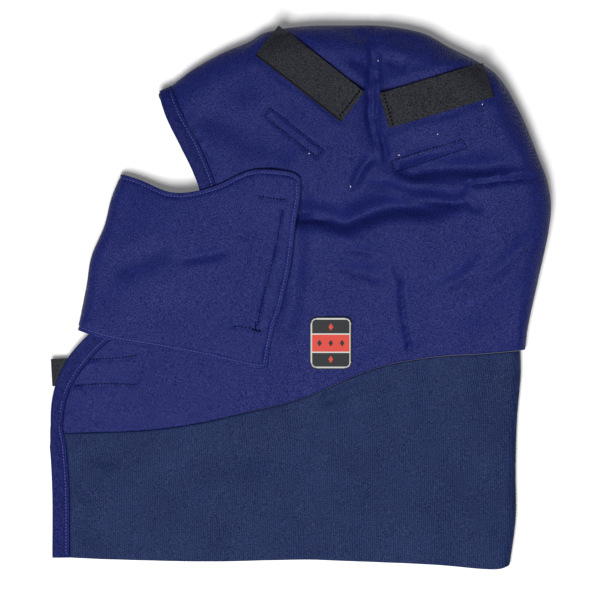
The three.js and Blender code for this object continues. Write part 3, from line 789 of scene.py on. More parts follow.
@dataclass(frozen=True)
class Thread:
    """Size of a row of stitches."""

    pitch: float = 2.3 * MM
    fill: float = 0.66
    radius: float = 0.36 * MM

    RINGS = ((-0.5, 0.25), (-0.36, 0.8), (0.0, 1.0), (0.36, 0.8), (0.5, 0.25))
    SIDES = 6
    SUNK = 0.55
    FLATTENED = 0.8
    LOOK_AHEAD = 0.1 * MM

    def sew(self, line: Array, normals: Array) -> tuple[Array, Array]:
        """Lays stitches along a line.

        Args:
            line: Points on the cloth, close together.
            normals: Unit vectors out of the cloth at them.

        Returns:
            The points and four-cornered faces of all stitches.
        """
        run = np.concatenate(([0.0], np.cumsum(np.linalg.norm(np.diff(line, axis=0), axis=1))))
        count = max(1, int(run[-1] / self.pitch))
        points, faces = [], []
        turn = np.arange(self.SIDES) * 2 * math.pi / self.SIDES

        def at_run(values: Array, at: float) -> Array:
            """Gives the row of values at a distance along the line."""
            return np.array([np.interp(at, run, values[:, k]) for k in range(3)])

        for i in range(count):
            middle = (i + 0.5) * run[-1] / count
            for share, swell in self.RINGS:
                at = middle + share * self.pitch * self.fill
                up = at_run(normals, at)
                ahead = at_run(line, at + self.LOOK_AHEAD) - at_run(line, at - self.LOOK_AHEAD)
                aside = np.cross(ahead, up)
                aside /= max(np.linalg.norm(aside), 1e-12)
                centre = at_run(line, at) + up * self.radius * (swell - self.SUNK)
                ring = np.cos(turn)[:, None] * aside + np.sin(turn)[:, None] * up * self.FLATTENED
                points.append(centre + ring * self.radius * swell)
            faces.append(self._stitch_faces() + i * len(self.RINGS) * self.SIDES)
        return np.vstack(points), np.vstack(faces)

    def _stitch_faces(self) -> Array:
        """Faces of one stitch, its ends closed by two fans of quads.

        Returns:
            The values, in the order of what was given.
        """
        sides = []
        for ring in range(len(self.RINGS) - 1):
            for side in range(self.SIDES):
                after = (side + 1) % self.SIDES
                low, high = ring * self.SIDES, (ring + 1) * self.SIDES
                sides.append((low + side, low + after, high + after, high + side))
        end = (len(self.RINGS) - 1) * self.SIDES
        sides += [(0, 3, 2, 1), (0, 5, 4, 3)]
        sides += [(end, end + 1, end + 2, end + 3), (end, end + 3, end + 4, end + 5)]
        return np.array(sides)


def surface_normals(places: Array, surface: Surface) -> Array:
    """Unit vectors out of a height surface at places."""
    step = 0.4 * MM
    slope = [
        (surface(places + delta) - surface(places - delta)) / (2 * step)
        for delta in (np.array((step, 0.0)), np.array((0.0, step)))
    ]
    normal = np.stack((-slope[0], -slope[1], np.ones(len(places))), axis=1)
    return normal / np.linalg.norm(normal, axis=1, keepdims=True)


def stitch_rows(
    name: str, rows: Sequence[Array], surface: Surface, thread: Thread, raised: float = 0.0
) -> bpy.types.Object:
    """Sews several rows of stitches on a surface as one object.

    Args:
        name: Name of the new object.
        rows: Places along each row.
        surface: Height of the cloth.
        thread: The stitches' size.
        raised: Height of the rows above the surface.

    Returns:
        The linked object.
    """
    points, faces, start = [], [], 0
    for row in rows:
        normals = surface_normals(row, surface)
        line = np.concatenate((row, surface(row)[:, None]), axis=1) + normals * raised
        new_points, new_faces = thread.sew(line, normals)
        points.append(new_points)
        faces.append(new_faces + start)
        start += len(new_points)
    return mesh_object(name, np.vstack(points), np.vstack(faces))


class NodeTree:
    """Short calls to place and join shader nodes."""

    def __init__(self, tree: bpy.types.NodeTree) -> None:
        """Works on one node tree."""
        self.tree = tree

    def add(self, kind: str, **settings: object) -> bpy.types.Node:
        """Adds a node and sets its properties.

        Args:
            kind: Kind of node.
            settings: Settings of the node, by name.

        Returns:
            The node.
        """
        node = self.tree.nodes.new(kind)
        for key, value in settings.items():
            setattr(node, key, value)
        return node

    def feed(self, node: bpy.types.Node, **inputs: object) -> bpy.types.Node:
        """Sets or links a node's inputs, whose names have _ for a space."""
        for key, value in inputs.items():
            numbered = key[0] == "i" and key[1:].isdigit()
            socket = node.inputs[int(key[1:]) if numbered else key.replace("_", " ")]
            if isinstance(value, bpy.types.NodeSocket):
                self.tree.links.new(value, socket)
            else:
                socket.default_value = value
        return node

    def math(self, operation: str, *values: object) -> bpy.types.NodeSocket:
        """Adds a math node and gives its result.

        Args:
            operation: What the node works out.
            values: Values or sockets that it works on.

        Returns:
            The socket that gives the result.
        """
        node = self.add("ShaderNodeMath", operation=operation)
        self.feed(node, **{f"i{k}": value for k, value in enumerate(values)})
        return node.outputs[0]

    def dot(self, first: object, second: object) -> bpy.types.NodeSocket:
        """Dot product of two vectors."""
        node = self.feed(self.add("ShaderNodeVectorMath", operation="DOT_PRODUCT"), i0=first, i1=second)
        return node.outputs["Value"]

    def noise(self, place_socket: object, scale: object, detail: float = 2.0) -> bpy.types.NodeSocket:
        """Adds a noise texture and gives its value."""
        node = self.feed(self.add("ShaderNodeTexNoise"), Vector=place_socket, Scale=scale, Detail=detail)
        return node.outputs["Fac"]

    def blend(self, share: object, first: object, second: object) -> bpy.types.NodeSocket:
        """Mixes two colours."""
        node = self.add("ShaderNodeMix", data_type="RGBA")
        self.feed(node, i0=share, i6=first, i7=second)
        return node.outputs[2]


def new_group(
    name: str, inputs: dict[str, float], outputs: Sequence[str]
) -> tuple[NodeTree, dict[str, bpy.types.NodeSocket], bpy.types.Node]:
    """Starts a shader node group.

    Args:
        name: Name of the group.
        inputs: Its inputs with their default values.
        outputs: Names of its outputs.

    Returns:
        The tree, its inputs' sockets by name, and its output node.
    """
    tree = bpy.data.node_groups.new(name, "ShaderNodeTree")
    for label, value in inputs.items():
        socket = tree.interface.new_socket(label, in_out="INPUT", socket_type="NodeSocketFloat")
        socket.default_value = value
    for label in outputs:
        tree.interface.new_socket(label, in_out="OUTPUT", socket_type="NodeSocketFloat")
    nodes = NodeTree(tree)
    entry, leave = nodes.add("NodeGroupInput"), nodes.add("NodeGroupOutput")
    return nodes, {label: entry.outputs[label] for label in inputs}, leave


class Effects:
    """Shader node groups that several finishes share."""

    WAVER_SCALE = 0.35
    WAVER_ANGLE = 12.0
    YARN_LEAN = 0.35
    YARNS_A_RIB = 1.3
    YARN_SHARE = 0.25

    def __init__(self) -> None:
        """Builds each group once."""
        self.ribs = self._diagonal_ribs()
        self.grain = self._yarn_grain()

    @staticmethod
    def _place_in_mm(nodes: NodeTree) -> bpy.types.NodeSocket:
        """Gives the place on the object in millimetres."""
        spot = nodes.add("ShaderNodeTexCoord").outputs["Object"]
        scaled = nodes.add("ShaderNodeVectorMath", operation="SCALE")
        return nodes.feed(scaled, i0=spot, Scale=1 / MM).outputs[0]

    def _diagonal_ribs(self) -> bpy.types.NodeTree:
        """Straight ribs of a woven or knitted cloth, crossed by its finer yarns.

        Returns:
            The node group.
        """
        inputs = {"Spacing": 0.8, "Lean X": 1.0, "Lean Y": 0.0, "Lean Z": 1.0, "Cross": 0.5, "Waver": 0.5}
        nodes, get, leave = new_group("cloth ribs", inputs, ("Height",))
        spot = self._place_in_mm(nodes)
        lean = nodes.add("ShaderNodeCombineXYZ")
        nodes.feed(lean, X=get["Lean X"], Y=get["Lean Y"], Z=get["Lean Z"])
        across = nodes.add("ShaderNodeCombineXYZ")
        nodes.feed(across, X=nodes.math("MULTIPLY", get["Lean Y"], -1.0), Y=get["Lean X"], Z=self.YARN_LEAN)
        most = nodes.math("MULTIPLY", get["Waver"], self.WAVER_ANGLE)
        waver = nodes.math("MULTIPLY", nodes.noise(spot, self.WAVER_SCALE), most)
        turn = nodes.math("DIVIDE", 2 * math.pi, get["Spacing"])
        rib_turn = nodes.math("MULTIPLY", nodes.dot(spot, lean.outputs[0]), turn)
        rib = nodes.math("SINE", nodes.math("ADD", rib_turn, waver))
        yarn_turn = nodes.math("MULTIPLY", turn, self.YARNS_A_RIB)
        yarn = nodes.math("SINE", nodes.math("MULTIPLY", nodes.dot(spot, across.outputs[0]), yarn_turn))
        high = nodes.math("MULTIPLY_ADD", rib, 0.5, 0.5)
        crossed = nodes.math("MULTIPLY", yarn, get["Cross"])
        nodes.feed(leave, Height=nodes.math("MULTIPLY_ADD", crossed, self.YARN_SHARE, high))
        return nodes.tree

    def _yarn_grain(self) -> bpy.types.NodeTree:
        """Fine speckle of the yarns and slow changes of tone over the cloth.

        Returns:
            The node group.
        """
        inputs = {"Speckle Scale": 1.2, "Speckle": 0.5, "Patch Scale": 0.03, "Patch": 0.3}
        nodes, get, leave = new_group("yarn grain", inputs, ("Tone",))
        spot = self._place_in_mm(nodes)
        fine = nodes.math("SUBTRACT", nodes.noise(spot, get["Speckle Scale"], 1.0), 0.5)
        wide = nodes.math("SUBTRACT", nodes.noise(spot, get["Patch Scale"], 3.0), 0.5)
        speckle = nodes.math("MULTIPLY", fine, get["Speckle"])
        tone = nodes.math("ADD", speckle, nodes.math("MULTIPLY", wide, get["Patch"]))
        nodes.feed(leave, Tone=nodes.math("ADD", tone, 0.5))
        return nodes.tree


@dataclass(frozen=True)
class ClothFinish:
    """Look of a cloth: its colours, its ribs and its grain."""

    name: str
    dark: Colour
    light: Colour
    spacing: float = 0.7
    lean: Colour = (0.7, 0.7, 0.7)
    cross: float = 1.0
    waver: float = 0.1
    bump: float = 0.5
    roughness: float = 0.65
    gloss_spread: float = 0.2
    speckle_scale: float = 1.4
    speckle: float = 3.0
    patch: float = 0.3
    rib_tone: float = 0.3
    specular: float = 0.22

    GRAIN_HEIGHT = 0.5
    BUMP_DISTANCE = 0.25 * MM

    def material(self, effects: Effects) -> bpy.types.Material:
        """Makes the material once.

        Args:
            effects: The shared node groups.

        Returns:
            The material.
        """
        made = bpy.data.materials.get(self.name)
        if made is not None:
            return made
        made = bpy.data.materials.new(self.name)
        made.use_nodes = True
        nodes = NodeTree(made.node_tree)
        shader = made.node_tree.nodes["Principled BSDF"]
        ribs = nodes.add("ShaderNodeGroup", node_tree=effects.ribs)
        nodes.feed(ribs, Spacing=self.spacing, Lean_X=self.lean[0], Lean_Y=self.lean[1], Lean_Z=self.lean[2],
                   Cross=self.cross, Waver=self.waver)
        grain = nodes.add("ShaderNodeGroup", node_tree=effects.grain)
        nodes.feed(grain, Speckle_Scale=self.speckle_scale, Speckle=self.speckle, Patch=self.patch)
        ridge = nodes.math("SUBTRACT", ribs.outputs[0], 0.5)
        lifted = nodes.math("MULTIPLY_ADD", ridge, self.rib_tone, grain.outputs[0])
        share = nodes.add("ShaderNodeClamp")
        nodes.feed(share, Value=lifted)
        colour = nodes.blend(share.outputs[0], (*self.dark, 1.0), (*self.light, 1.0))
        bump = nodes.add("ShaderNodeBump")
        grained = nodes.math("MULTIPLY_ADD", grain.outputs[0], self.GRAIN_HEIGHT, ribs.outputs[0])
        nodes.feed(bump, Strength=self.bump, Distance=self.BUMP_DISTANCE, Height=grained)
        nodes.feed(shader, Base_Color=colour, Normal=bump.outputs[0])
        mattest = self.roughness + self.gloss_spread / 2
        matt = nodes.math("MULTIPLY_ADD", share.outputs[0], -self.gloss_spread, mattest)
        nodes.feed(shader, Roughness=matt)
        shader.inputs["Specular IOR Level"].default_value = self.specular
        return made


@dataclass(frozen=True)
class PlainFinish:
    """Look of a plain thing, such as rubber, thread or lint, with a fine grain."""

    name: str
    colour: Colour
    roughness: float
    specular: float = 0.4
    speckle: float = 0.25
    glow: float = 0.0

    SPECKLE_SCALE = 2.0
    PATCH = 0.2
    TONE = 0.2
    BUMP = 0.2
    BUMP_DISTANCE = 0.1 * MM

    def material(self, effects: Effects) -> bpy.types.Material:
        """Makes the material once.

        Args:
            effects: The shared node groups.

        Returns:
            The material.
        """
        made = bpy.data.materials.get(self.name)
        if made is not None:
            return made
        made = bpy.data.materials.new(self.name)
        made.use_nodes = True
        nodes = NodeTree(made.node_tree)
        shader = made.node_tree.nodes["Principled BSDF"]
        grain = nodes.add("ShaderNodeGroup", node_tree=effects.grain)
        nodes.feed(grain, Speckle_Scale=self.SPECKLE_SCALE, Speckle=self.speckle, Patch=self.PATCH)
        darker = tuple(c * (1 - self.TONE) for c in self.colour)
        lighter = tuple(min(1.0, c * (1 + self.TONE)) for c in self.colour)
        nodes.feed(shader, Base_Color=nodes.blend(grain.outputs[0], (*darker, 1.0), (*lighter, 1.0)))
        bump = nodes.add("ShaderNodeBump")
        nodes.feed(bump, Strength=self.BUMP, Distance=self.BUMP_DISTANCE, Height=grain.outputs[0])
        nodes.feed(shader, Normal=bump.outputs[0])
        shader.inputs["Emission Color"].default_value = (1.0, 1.0, 1.0, 1.0)
        shader.inputs["Emission Strength"].default_value = self.glow
        shader.inputs["Roughness"].default_value = self.roughness
        shader.inputs["Specular IOR Level"].default_value = self.specular
        return made


TWILL = ClothFinish(
    "navy_twill", (0.0001, 0.0034, 0.063), (0.0135, 0.0205, 0.148), spacing=0.9, lean=(0.77, 0.64, 0.7),
    cross=0.7, waver=0.25, bump=0.45, roughness=0.62, gloss_spread=0.34, speckle_scale=1.35, speckle=4.0,
    rib_tone=0.6, specular=0.19,
)
BAND = replace(
    TWILL, name="navy_twill_band", dark=(0.0001, 0.0025, 0.050), light=(0.0105, 0.0165, 0.122),
    lean=(-0.64, 0.77, 0.7), specular=0.12,
)
KNIT = ClothFinish(
    "rib_knit", (0.001, 0.007, 0.040), (0.014, 0.029, 0.104), spacing=1.5, lean=(1.0, 0.0, 1.0),
    cross=0.5, waver=0.2, roughness=0.68, speckle_scale=1.5, speckle=3.4, patch=0.6, rib_tone=0.4,
    specular=0.16,
)
TAPE = ClothFinish("charcoal_tape", (0.001, 0.001, 0.005), (0.030, 0.033, 0.043))
# Lower tapes: dark hook tape, darkened further as painted shade of the gap under the upper tapes
HOOK_TAPE_PAINTED_SHADE = ClothFinish(
    "hook_tape_painted_shade", (0.002, 0.002, 0.003), (0.010, 0.010, 0.012), roughness=0.7, gloss_spread=0.0, speckle=1.5,
    specular=0.15,
)
TWILL_THREAD = PlainFinish("navy_thread", (0.060, 0.068, 0.260), 0.5, 0.4)
SEWN_THREAD = PlainFinish("deep_navy_thread", (0.0006, 0.001, 0.018), 0.7, 0.08)
DARK_THREAD = PlainFinish("black_thread", (0.001, 0.001, 0.0015), 0.7, 0.08)
RUBBER_RED = PlainFinish("coral_rubber", (0.56, 0.060, 0.042), 0.6, 0.12)
RUBBER_DARK = PlainFinish("charcoal_rubber", (0.018, 0.019, 0.022), 0.6, 0.15)
RUBBER_WHITE = PlainFinish("white_rubber", (0.50, 0.50, 0.48), 0.5)
LINT = PlainFinish("white_lint", (0.80, 0.82, 0.86), 0.9)
FLOOR = PlainFinish("pale_floor", (0.86, 0.86, 0.86), 0.9, 0.1, speckle=0.0, glow=0.16)


class Wardrobe:
    """Rides, dresses and records each finished piece."""

    def __init__(self) -> None:
        """Builds the shared effects."""
        self.effects = Effects()

    def finish(
        self,
        piece: bpy.types.Object,
        look: ClothFinish | PlainFinish,
        slot: str,
        nodes: Sequence[str] = (),
    ) -> bpy.types.Object:
        """Gives a piece its material and body, and hides the nodes that it stands for."""
        piece.data.materials.append(look.material(self.effects))
        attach(piece, "root")
        if nodes:
            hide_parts(*nodes)
        LOG.info("%s: %d faces", piece.name, len(piece.data.polygons))
        return piece


@dataclass
class SidePanels:
    """The two twill sides of the hood."""

    form: HoodForm
    wardrobe: Wardrobe
    near_rows: int = 190
    near_columns: int = 178
    far_rows: int = 70
    far_columns: int = 60
    puff: float = 0.55 * MM
    pucker: float = 0.22 * MM

    def plan(self, rows: int, columns: int, radius_share: float) -> Array:
        """Lays the side out flat as a grid of places.

        Args:
            rows: Number of rows, or the rows themselves.
            columns: Number of columns.
            radius_share: Share of the edge radius that this side turns over with.

        Returns:
            The values, in the order of what was given.
        """
        form = self.form
        radius = form.crown_edge_radius
        row_shares = shares_across(LENGTH, Spacing.SEAM.value, round_spacing(radius, 12), rows)
        starts, ends = form.side_row(row_shares)
        front, back = form.knit.at(0.0), form.knit.at(1.0)
        grid = []
        for row, start_share, end_share in zip(row_shares, starts, ends):
            start, end = form.seam.at(start_share), form.closed.at(end_share)
            turned = round_spacing(float(form.edge_radius(end[None])[0]) * radius_share)
            length = float(np.linalg.norm(end - start))
            shares = shares_across(length, Spacing.SEAM.value, turned, columns)[:, None]
            sag = form.knit.at(shares[:, 0]) - (front + (back - front) * shares)
            follow = 1 - smooth(0.0, SIDE_STATIONS[2][0], np.array(row))
            grid.append(start + (end - start) * shares + sag * follow)
        return np.array(grid)

    def covered(self, points: Array, reach: float) -> Array:
        """Share of the cloth's freedom that is left near the pieces that lie on it.

        Args:
            points: Places, a row of x and y each.
            reach: Distance over which it fades.

        Returns:
            The values, in the order of what was given.
        """
        free = np.ones(len(points))
        for print_ in (FRONT_STRAP, BACK_STRAP, BADGE, FASTENER):
            free *= smooth(0.0, reach, print_.outside(points))
        return free * smooth(0.0, reach, self.form.outside_mask(points))

    def detail(self, points: Array) -> Array:
        """Fine relief of the near side: seams, stitches, puckers and soft puffs.

        Args:
            points: Places, a row of x and y each.

        Returns:
            The values, in the order of what was given.
        """
        form = self.form
        seam, knit = form.seam.distance(points), form.knit.distance(points)
        relief = hem_roll(seam, 0.6 * MM, 1.0 * MM) + hem_roll(knit, 0.7 * MM, 1.4 * MM)
        ripple = Ripple(3, 9 * MM)(points)
        relief += self.pucker * ripple * (bell(seam / (7 * MM)) + bell(knit / (8 * MM)))
        for dart in (PLEAT_FRONT, PLEAT_BACK, NAPE_DART, NECK_DART):
            relief += self.pucker * ripple * bell(Path(dart).distance(points) / (5 * MM))
        for row in rectangle_rows(UPPER_RECTANGLES) + [Path(row).line for row in TAB_ROWS]:
            away = nearest_on(row, points)[0]
            relief -= 1.2 * MM * bell(away / (1.5 * MM))
            relief += self.pucker * 0.8 * ripple * bell(away / (4 * MM))
        soft = Ripple(11, 42 * MM)(points) * self.puff + Ripple(12, 20 * MM)(points) * self.puff * 0.35
        relief += soft * smooth(0.0, 0.015, knit)
        for strap in (FRONT_STRAP, BACK_STRAP):
            away = strap.outside(points)
            relief += 0.7 * MM * bell((away - 4 * MM) / (3.5 * MM)) - 0.4 * MM * bell(away / (1.5 * MM))
        relief *= smooth(0.0, 6 * MM, form.closed.distance(points))
        relief *= smooth(0.0, 4 * MM, self.tip_distance(points))
        return relief

    def tip_distance(self, points: Array) -> Array:
        """How far points are from the short front end of the crown."""
        ends = np.stack((self.form.seam.at(0.0), self.form.closed.at(0.05)))
        return nearest_on(ends, points)[0]

    def build(self) -> list[bpy.types.Object]:
        """Builds both sides.

        Returns:
            The objects that were built.
        """
        form = self.form
        plan = self.plan(self.near_rows, self.near_columns, 1.0)
        flat = plan.reshape(-1, 2)
        free = self.covered(flat, 7 * MM)
        relief = self.detail(flat)
        relief = np.where(relief > 0, relief * free, relief)
        creased = form.near_creased(flat)
        plain = form.near(flat)
        heights = np.minimum(creased, plain + (creased - plain) * np.maximum(free, 0.0))
        base = np.concatenate((plan, heights.reshape(plan.shape[:2])[..., None]), axis=2)
        rims = {"start": Rim.SQUARE, "first": Rim.SQUARE, "last": Rim.CLOSED, "end": Rim.CLOSED}
        near = ClothWall("side_near_twill", base, form.twill_wall, rims, relief.reshape(plan.shape[:2]),
                         form.near_limit).build()
        self.wardrobe.finish(near, TWILL, "twill", ["side_panel_near"])
        far_plan = self.plan(self.far_rows, self.far_columns, form.far_radius_share)
        far_points = far_plan.reshape(-1, 2)
        seam = np.minimum(form.seam.distance(far_points), form.knit.distance(far_points))
        far = ClothWall("side_far_twill", raise_grid(far_plan, form.far), form.twill_wall, rims,
                        (hem_roll(seam, 0.9 * MM, 1.5 * MM)).reshape(far_plan.shape[:2]),
                        form.far_limit, -1.0).build()
        self.wardrobe.finish(far, TWILL, "twill", ["side_panel_far"])
        return [near, far]


# Stitched rectangles of the near side, as their corners in order
UPPER_RECTANGLES: tuple[Places, ...] = (
    ((0.439, 0.847), (0.428, 0.830), (0.533, 0.756), (0.546, 0.769)),
    ((0.679, 0.748), (0.820, 0.788), (0.830, 0.772), (0.691, 0.729)),
)
TAB_ROWS: tuple[Places, ...] = (
    ((0.078, 0.386), (0.130, 0.389), (0.175, 0.393)),
    ((0.048, 0.338), (0.110, 0.341), (0.172, 0.340)),
)
MASK_PATCH_ROWS: tuple[Places, ...] = (
    ((0.417, 0.684), (0.445, 0.680), (0.4715, 0.678)),
    ((0.464, 0.660), (0.453, 0.595), (0.438, 0.539), (0.423, 0.486), (0.4135, 0.446)),
    ((0.368, 0.448), (0.394, 0.445), (0.422, 0.438)),
)
MASK_PATCH_LEFT: Places = ((0.4075, 0.612), (0.392, 0.570), (0.371, 0.486), (0.365, 0.449))
THREAD_ENDS: tuple[Places, ...] = (
    ((0.412, 0.455), (0.411, 0.445), (0.414, 0.436)),
    ((0.404, 0.441), (0.413, 0.439), (0.423, 0.437)),
)
MASK_CREASES = (
    Crease("middle", ((0.368, 0.590), (0.330, 0.581), (0.290, 0.575), (0.240, 0.569)),
           4.2 * MM, 1.5 * MM, 0.9 * MM, (0.3, 0.4)),
    Crease("front soft", ((0.250, 0.600), (0.200, 0.577), (0.150, 0.560), (0.110, 0.550)),
           9 * MM, 1.7 * MM, 0.8 * MM),
    Crease("right soft", ((0.395, 0.600), (0.380, 0.640), (0.360, 0.670)), 8 * MM, 1.0 * MM, 0.5 * MM),
    Crease("foot soft", ((0.200, 0.470), (0.260, 0.480), (0.330, 0.500)), 10 * MM, 0.9 * MM, 0.4 * MM),
)


def rectangle_rows(rectangles: Sequence[Places], step: float = 1.5 * MM) -> list[Array]:
    """Gives the closed rows of places round stitched outlines.

    Args:
        rectangles: Corners of each outline in order.
        step: Distance between places.

    Returns:
        The rows of places.
    """
    rows = []
    for corners in rectangles:
        points = np.array([place(*corner) for corner in (*corners, corners[0])])
        pieces = []
        for start, end in zip(points, points[1:]):
            count = max(2, int(np.linalg.norm(end - start) / step))
            pieces.append(start + (end - start) * np.linspace(0, 1, count, endpoint=False)[:, None])
        rows.append(np.vstack((*pieces, points[:1])))
    return rows


@dataclass
class Facings:
    """The bands along the face opening and down the front of the neck."""

    form: HoodForm
    wardrobe: Wardrobe
    stitch_in: float = 2.6 * MM
    tip_radius: float = 4 * MM
    gap: float = 0.15 * MM
    rows: int = 420

    def width(self, share: Array) -> Array:
        """Width of the band at shares of the facing seam.

        Args:
            share: Shares of the way along.

        Returns:
            The values, in the order of what was given.
        """
        at = [self.form.seam.share_near(place(*row)) for row in FACING_SEAM]
        rounded = mix(0.62, 1.0, bulge(share * self.form.seam.length / self.tip_radius))
        return np.interp(share, at, FACING_WIDTHS) * self.form.facing_width * rounded

    def plan(self, inset: Sequence[float]) -> tuple[Array, Array]:
        """Lays the band out flat, with the distance of each place from the seam.

        Args:
            inset: Spacing that the inner edge starts with.

        Returns:
            Two arrays in the order of what was given.
        """
        tip = self.tip_radius / self.form.seam.length
        shares = np.concatenate((round_spacing(tip, 10), np.linspace(tip * 1.2, 1.0, self.rows)))
        middle, left, width = self.form.seam.at(shares), self.form.seam.left(shares), self.width(shares)
        grid, away = [], []
        for point, aside, wide in zip(middle, left, width):
            across = shares_across(wide - self.gap, inset, Spacing.HEM.value, 6)
            out = self.gap + across * (wide - self.gap)
            grid.append(point - aside * out[:, None])
            away.append(out)
        return np.array(grid), np.array(away)

    def build(self) -> list[bpy.types.Object]:
        """Builds both bands and their topstitching.

        Returns:
            The objects that were built.
        """
        form = self.form
        plan, away = self.plan(Spacing.SEAM.value)
        flat = plan.reshape(-1, 2)
        edge = (away[:, -1:] - away).reshape(-1)
        seam = (away - self.gap).reshape(-1)
        ripple = Ripple(21, 8 * MM)(flat)
        relief = hem_roll(seam, 0.5 * MM, 0.8 * MM) + hem_roll(edge, 1.1 * MM, 1.4 * MM)
        relief += stitched_dip(seam, self.stitch_in, 0.5 * MM, 0.8 * MM)
        relief += 0.25 * MM * ripple * bell((seam - 4 * MM) / (4 * MM))
        relief += 0.5 * MM * bell((edge - 4.5 * MM) / (3.5 * MM))
        ends = {"start": Rim.SQUARE, "end": Rim.SQUARE, "last": Rim.SQUARE, "first": Rim.CLOSED}
        made = []
        sides = (("near", 1.0, form.near, form.near_limit), ("far", -1.0, form.far, form.far_limit))
        for side, upward, face, limit in sides:
            base = raise_grid(plan, face)
            lower = relief if side == "near" else np.minimum(relief, 0.0)
            band = ClothWall(f"facing_{side}_twill", base, form.facing_wall, ends,
                             lower.reshape(plan.shape[:2]),
                             limit, upward).build()
            self.wardrobe.finish(band, BAND, "twill", [f"facing_{side}"])
            made.append(band)
        shares = np.linspace(0.012, 0.995, 700)
        line = form.seam.at(shares) - form.seam.left(shares) * (self.gap + self.stitch_in)
        top = stitch_rows("facing_topstitch", [line], form.near, Thread(), -0.3 * MM)
        made.append(self.wardrobe.finish(top, TWILL_THREAD, "twill"))
        return made


def between(left: Path, right: Path, top: Path, bottom: Path, u: Array, v: Array) -> Array:
    """Gives places in the area between four lines.

    Args:
        left: Line where u is 0, run by v.
        right: Line where u is 1, run by v.
        top: Line where v is 0, run by u.
        bottom: Line where v is 1, run by u.
        u: Shares across.
        v: Shares down.

    Returns:
        The places.
    """
    u2, v2 = u[..., None], v[..., None]
    across = mix(left.at(v), right.at(v), u2)
    down = mix(top.at(u), bottom.at(u), v2)
    corners = mix(mix(top.at(0.0), top.at(1.0), u2), mix(bottom.at(0.0), bottom.at(1.0), u2), v2)
    return across + down - corners


class Run:
    """A stretch of a path, run the other way if its end comes before its start."""

    def __init__(
        self, path: Path, start: float, end: float, shift: Callable[[Array], Array] | None = None
    ) -> None:
        """Takes the stretch from start to end, moved by shift of its share."""
        self.path, self.start, self.end, self.shift = path, start, end, shift

    def at(self, share: Array) -> Array:
        """Gives the places at shares of the stretch.

        Args:
            share: Shares of the way along.

        Returns:
            The values, in the order of what was given.
        """
        share = np.asarray(share, float)
        places = self.path.at(self.start + (self.end - self.start) * share)
        return places if self.shift is None else places + self.shift(share)


def folded(plan: Array, near: Surface, far: Surface) -> Array:
    """Folds a flat grid over at the end of its columns."""
    return np.concatenate((raise_grid(plan, near), raise_grid(plan, far)[:, -2::-1]), axis=1)


# Soft creases of the bib, near the front and under the seam
BIB_CREASES = (
    Crease("front diagonal", ((0.040, 0.160), (0.052, 0.150), (0.068, 0.132), (0.086, 0.120)),
           2.4 * MM, 1.0 * MM, 0.5 * MM),
    Crease("front upper", ((0.060, 0.212), (0.110, 0.202), (0.170, 0.195)),
           6 * MM, 1.1 * MM, 0.4 * MM, (0.3, 0.5)),
    Crease("front lower", ((0.045, 0.085), (0.075, 0.066), (0.110, 0.060)), 6 * MM, 1.0 * MM, 0.4 * MM),
    Crease("seam pull", ((0.520, 0.305), (0.580, 0.322), (0.660, 0.346)), 5 * MM, 1.3 * MM, 0.4 * MM),
    Crease("seam pull low", ((0.560, 0.290), (0.640, 0.300), (0.760, 0.330)), 8 * MM, 1.0 * MM, 0.4 * MM),
    Crease("middle", ((0.250, 0.190), (0.400, 0.205), (0.560, 0.235)), 14 * MM, 1.2 * MM, 0.5 * MM),
)


@dataclass
class Bib:
    """The ribbed knit shoulder piece, folded at the back."""

    form: HoodForm
    wardrobe: Wardrobe
    gap: float = 0.25 * MM
    rows: int = 80
    columns: int = 130

    def build(self) -> bpy.types.Object:
        """Builds the bib.

        Returns:
            The object.
        """
        form = self.form
        top_share = form.knit.share_near(form.bib_fold.at(0.0))
        gap = self.gap
        top = Run(form.knit, 0.0, top_share, lambda s: np.stack((0 * s, 0 * s - gap), -1))
        front = Run(form.seam, form.seam_at_knit, 1.0, lambda s: np.stack((0 * s, -gap * (1 - s)), -1))
        back, bottom = Run(form.bib_fold, 0.0, 1.0), Run(form.bib_hem, 0.0, 1.0)
        length = float(np.linalg.norm(front.at(0.5) - back.at(0.5)))
        u = shares_across(length, Spacing.SEAM.value, round_spacing(form.knit_edge_radius), self.columns)
        v = shares_across(0.12, Spacing.SEAM.value, Spacing.HEM.value, self.rows)
        across, down = np.meshgrid(u, v)
        plan = between(front, back, top, bottom, across, down)
        base = folded(plan, form.bib_near, form.bib_far)
        relief = self.relief(base, plan)
        ends = {side: Rim.SQUARE for side in ("start", "end", "first", "last")}
        bib = ClothWall("bib_knit", base, form.knit_wall, ends, relief).build()
        self.wardrobe.finish(bib, KNIT, "knit", ["bib"])
        return bib

    def relief(self, base: Array, plan: Array) -> Array:
        """Fine relief: seams, hem, soft waves along the ribs and the ribs themselves.

        Args:
            base: Grid of places on the cloth, with heights.
            plan: Flat grid of places.

        Returns:
            The values, in the order of what was given.
        """
        form = self.form
        points = base[..., :2].reshape(-1, 2)
        upper = np.zeros(base.shape[:2])
        upper[:, : plan.shape[1]] = 1.0
        upper = upper.reshape(-1)
        knit, seam, hem = (path.distance(points) for path in (form.knit, form.seam, form.bib_hem))
        relief = hem_roll(np.maximum(knit - self.gap, 0), 1.0 * MM, 1.8 * MM)
        relief += hem_roll(np.maximum(seam, 0), 1.0 * MM, 2.0 * MM) + hem_roll(hem, 0.9 * MM, 1.4 * MM)
        waves = Ripple(31, 26 * MM, 0.0, 0.9)(points) * 0.35 * MM + Ripple(32, 60 * MM)(points) * 0.5 * MM
        pull = Ripple(33, 9 * MM, 0.0, 0.6)(points) * 0.25 * MM * bell((knit - 3 * MM) / (9 * MM))
        free = smooth(0.0, 0.012, form.bib_fold.distance(points))
        relief += upper * (waves * free + pull + sum(crease.lift(points) for crease in BIB_CREASES))
        return relief.reshape(base.shape[:2])


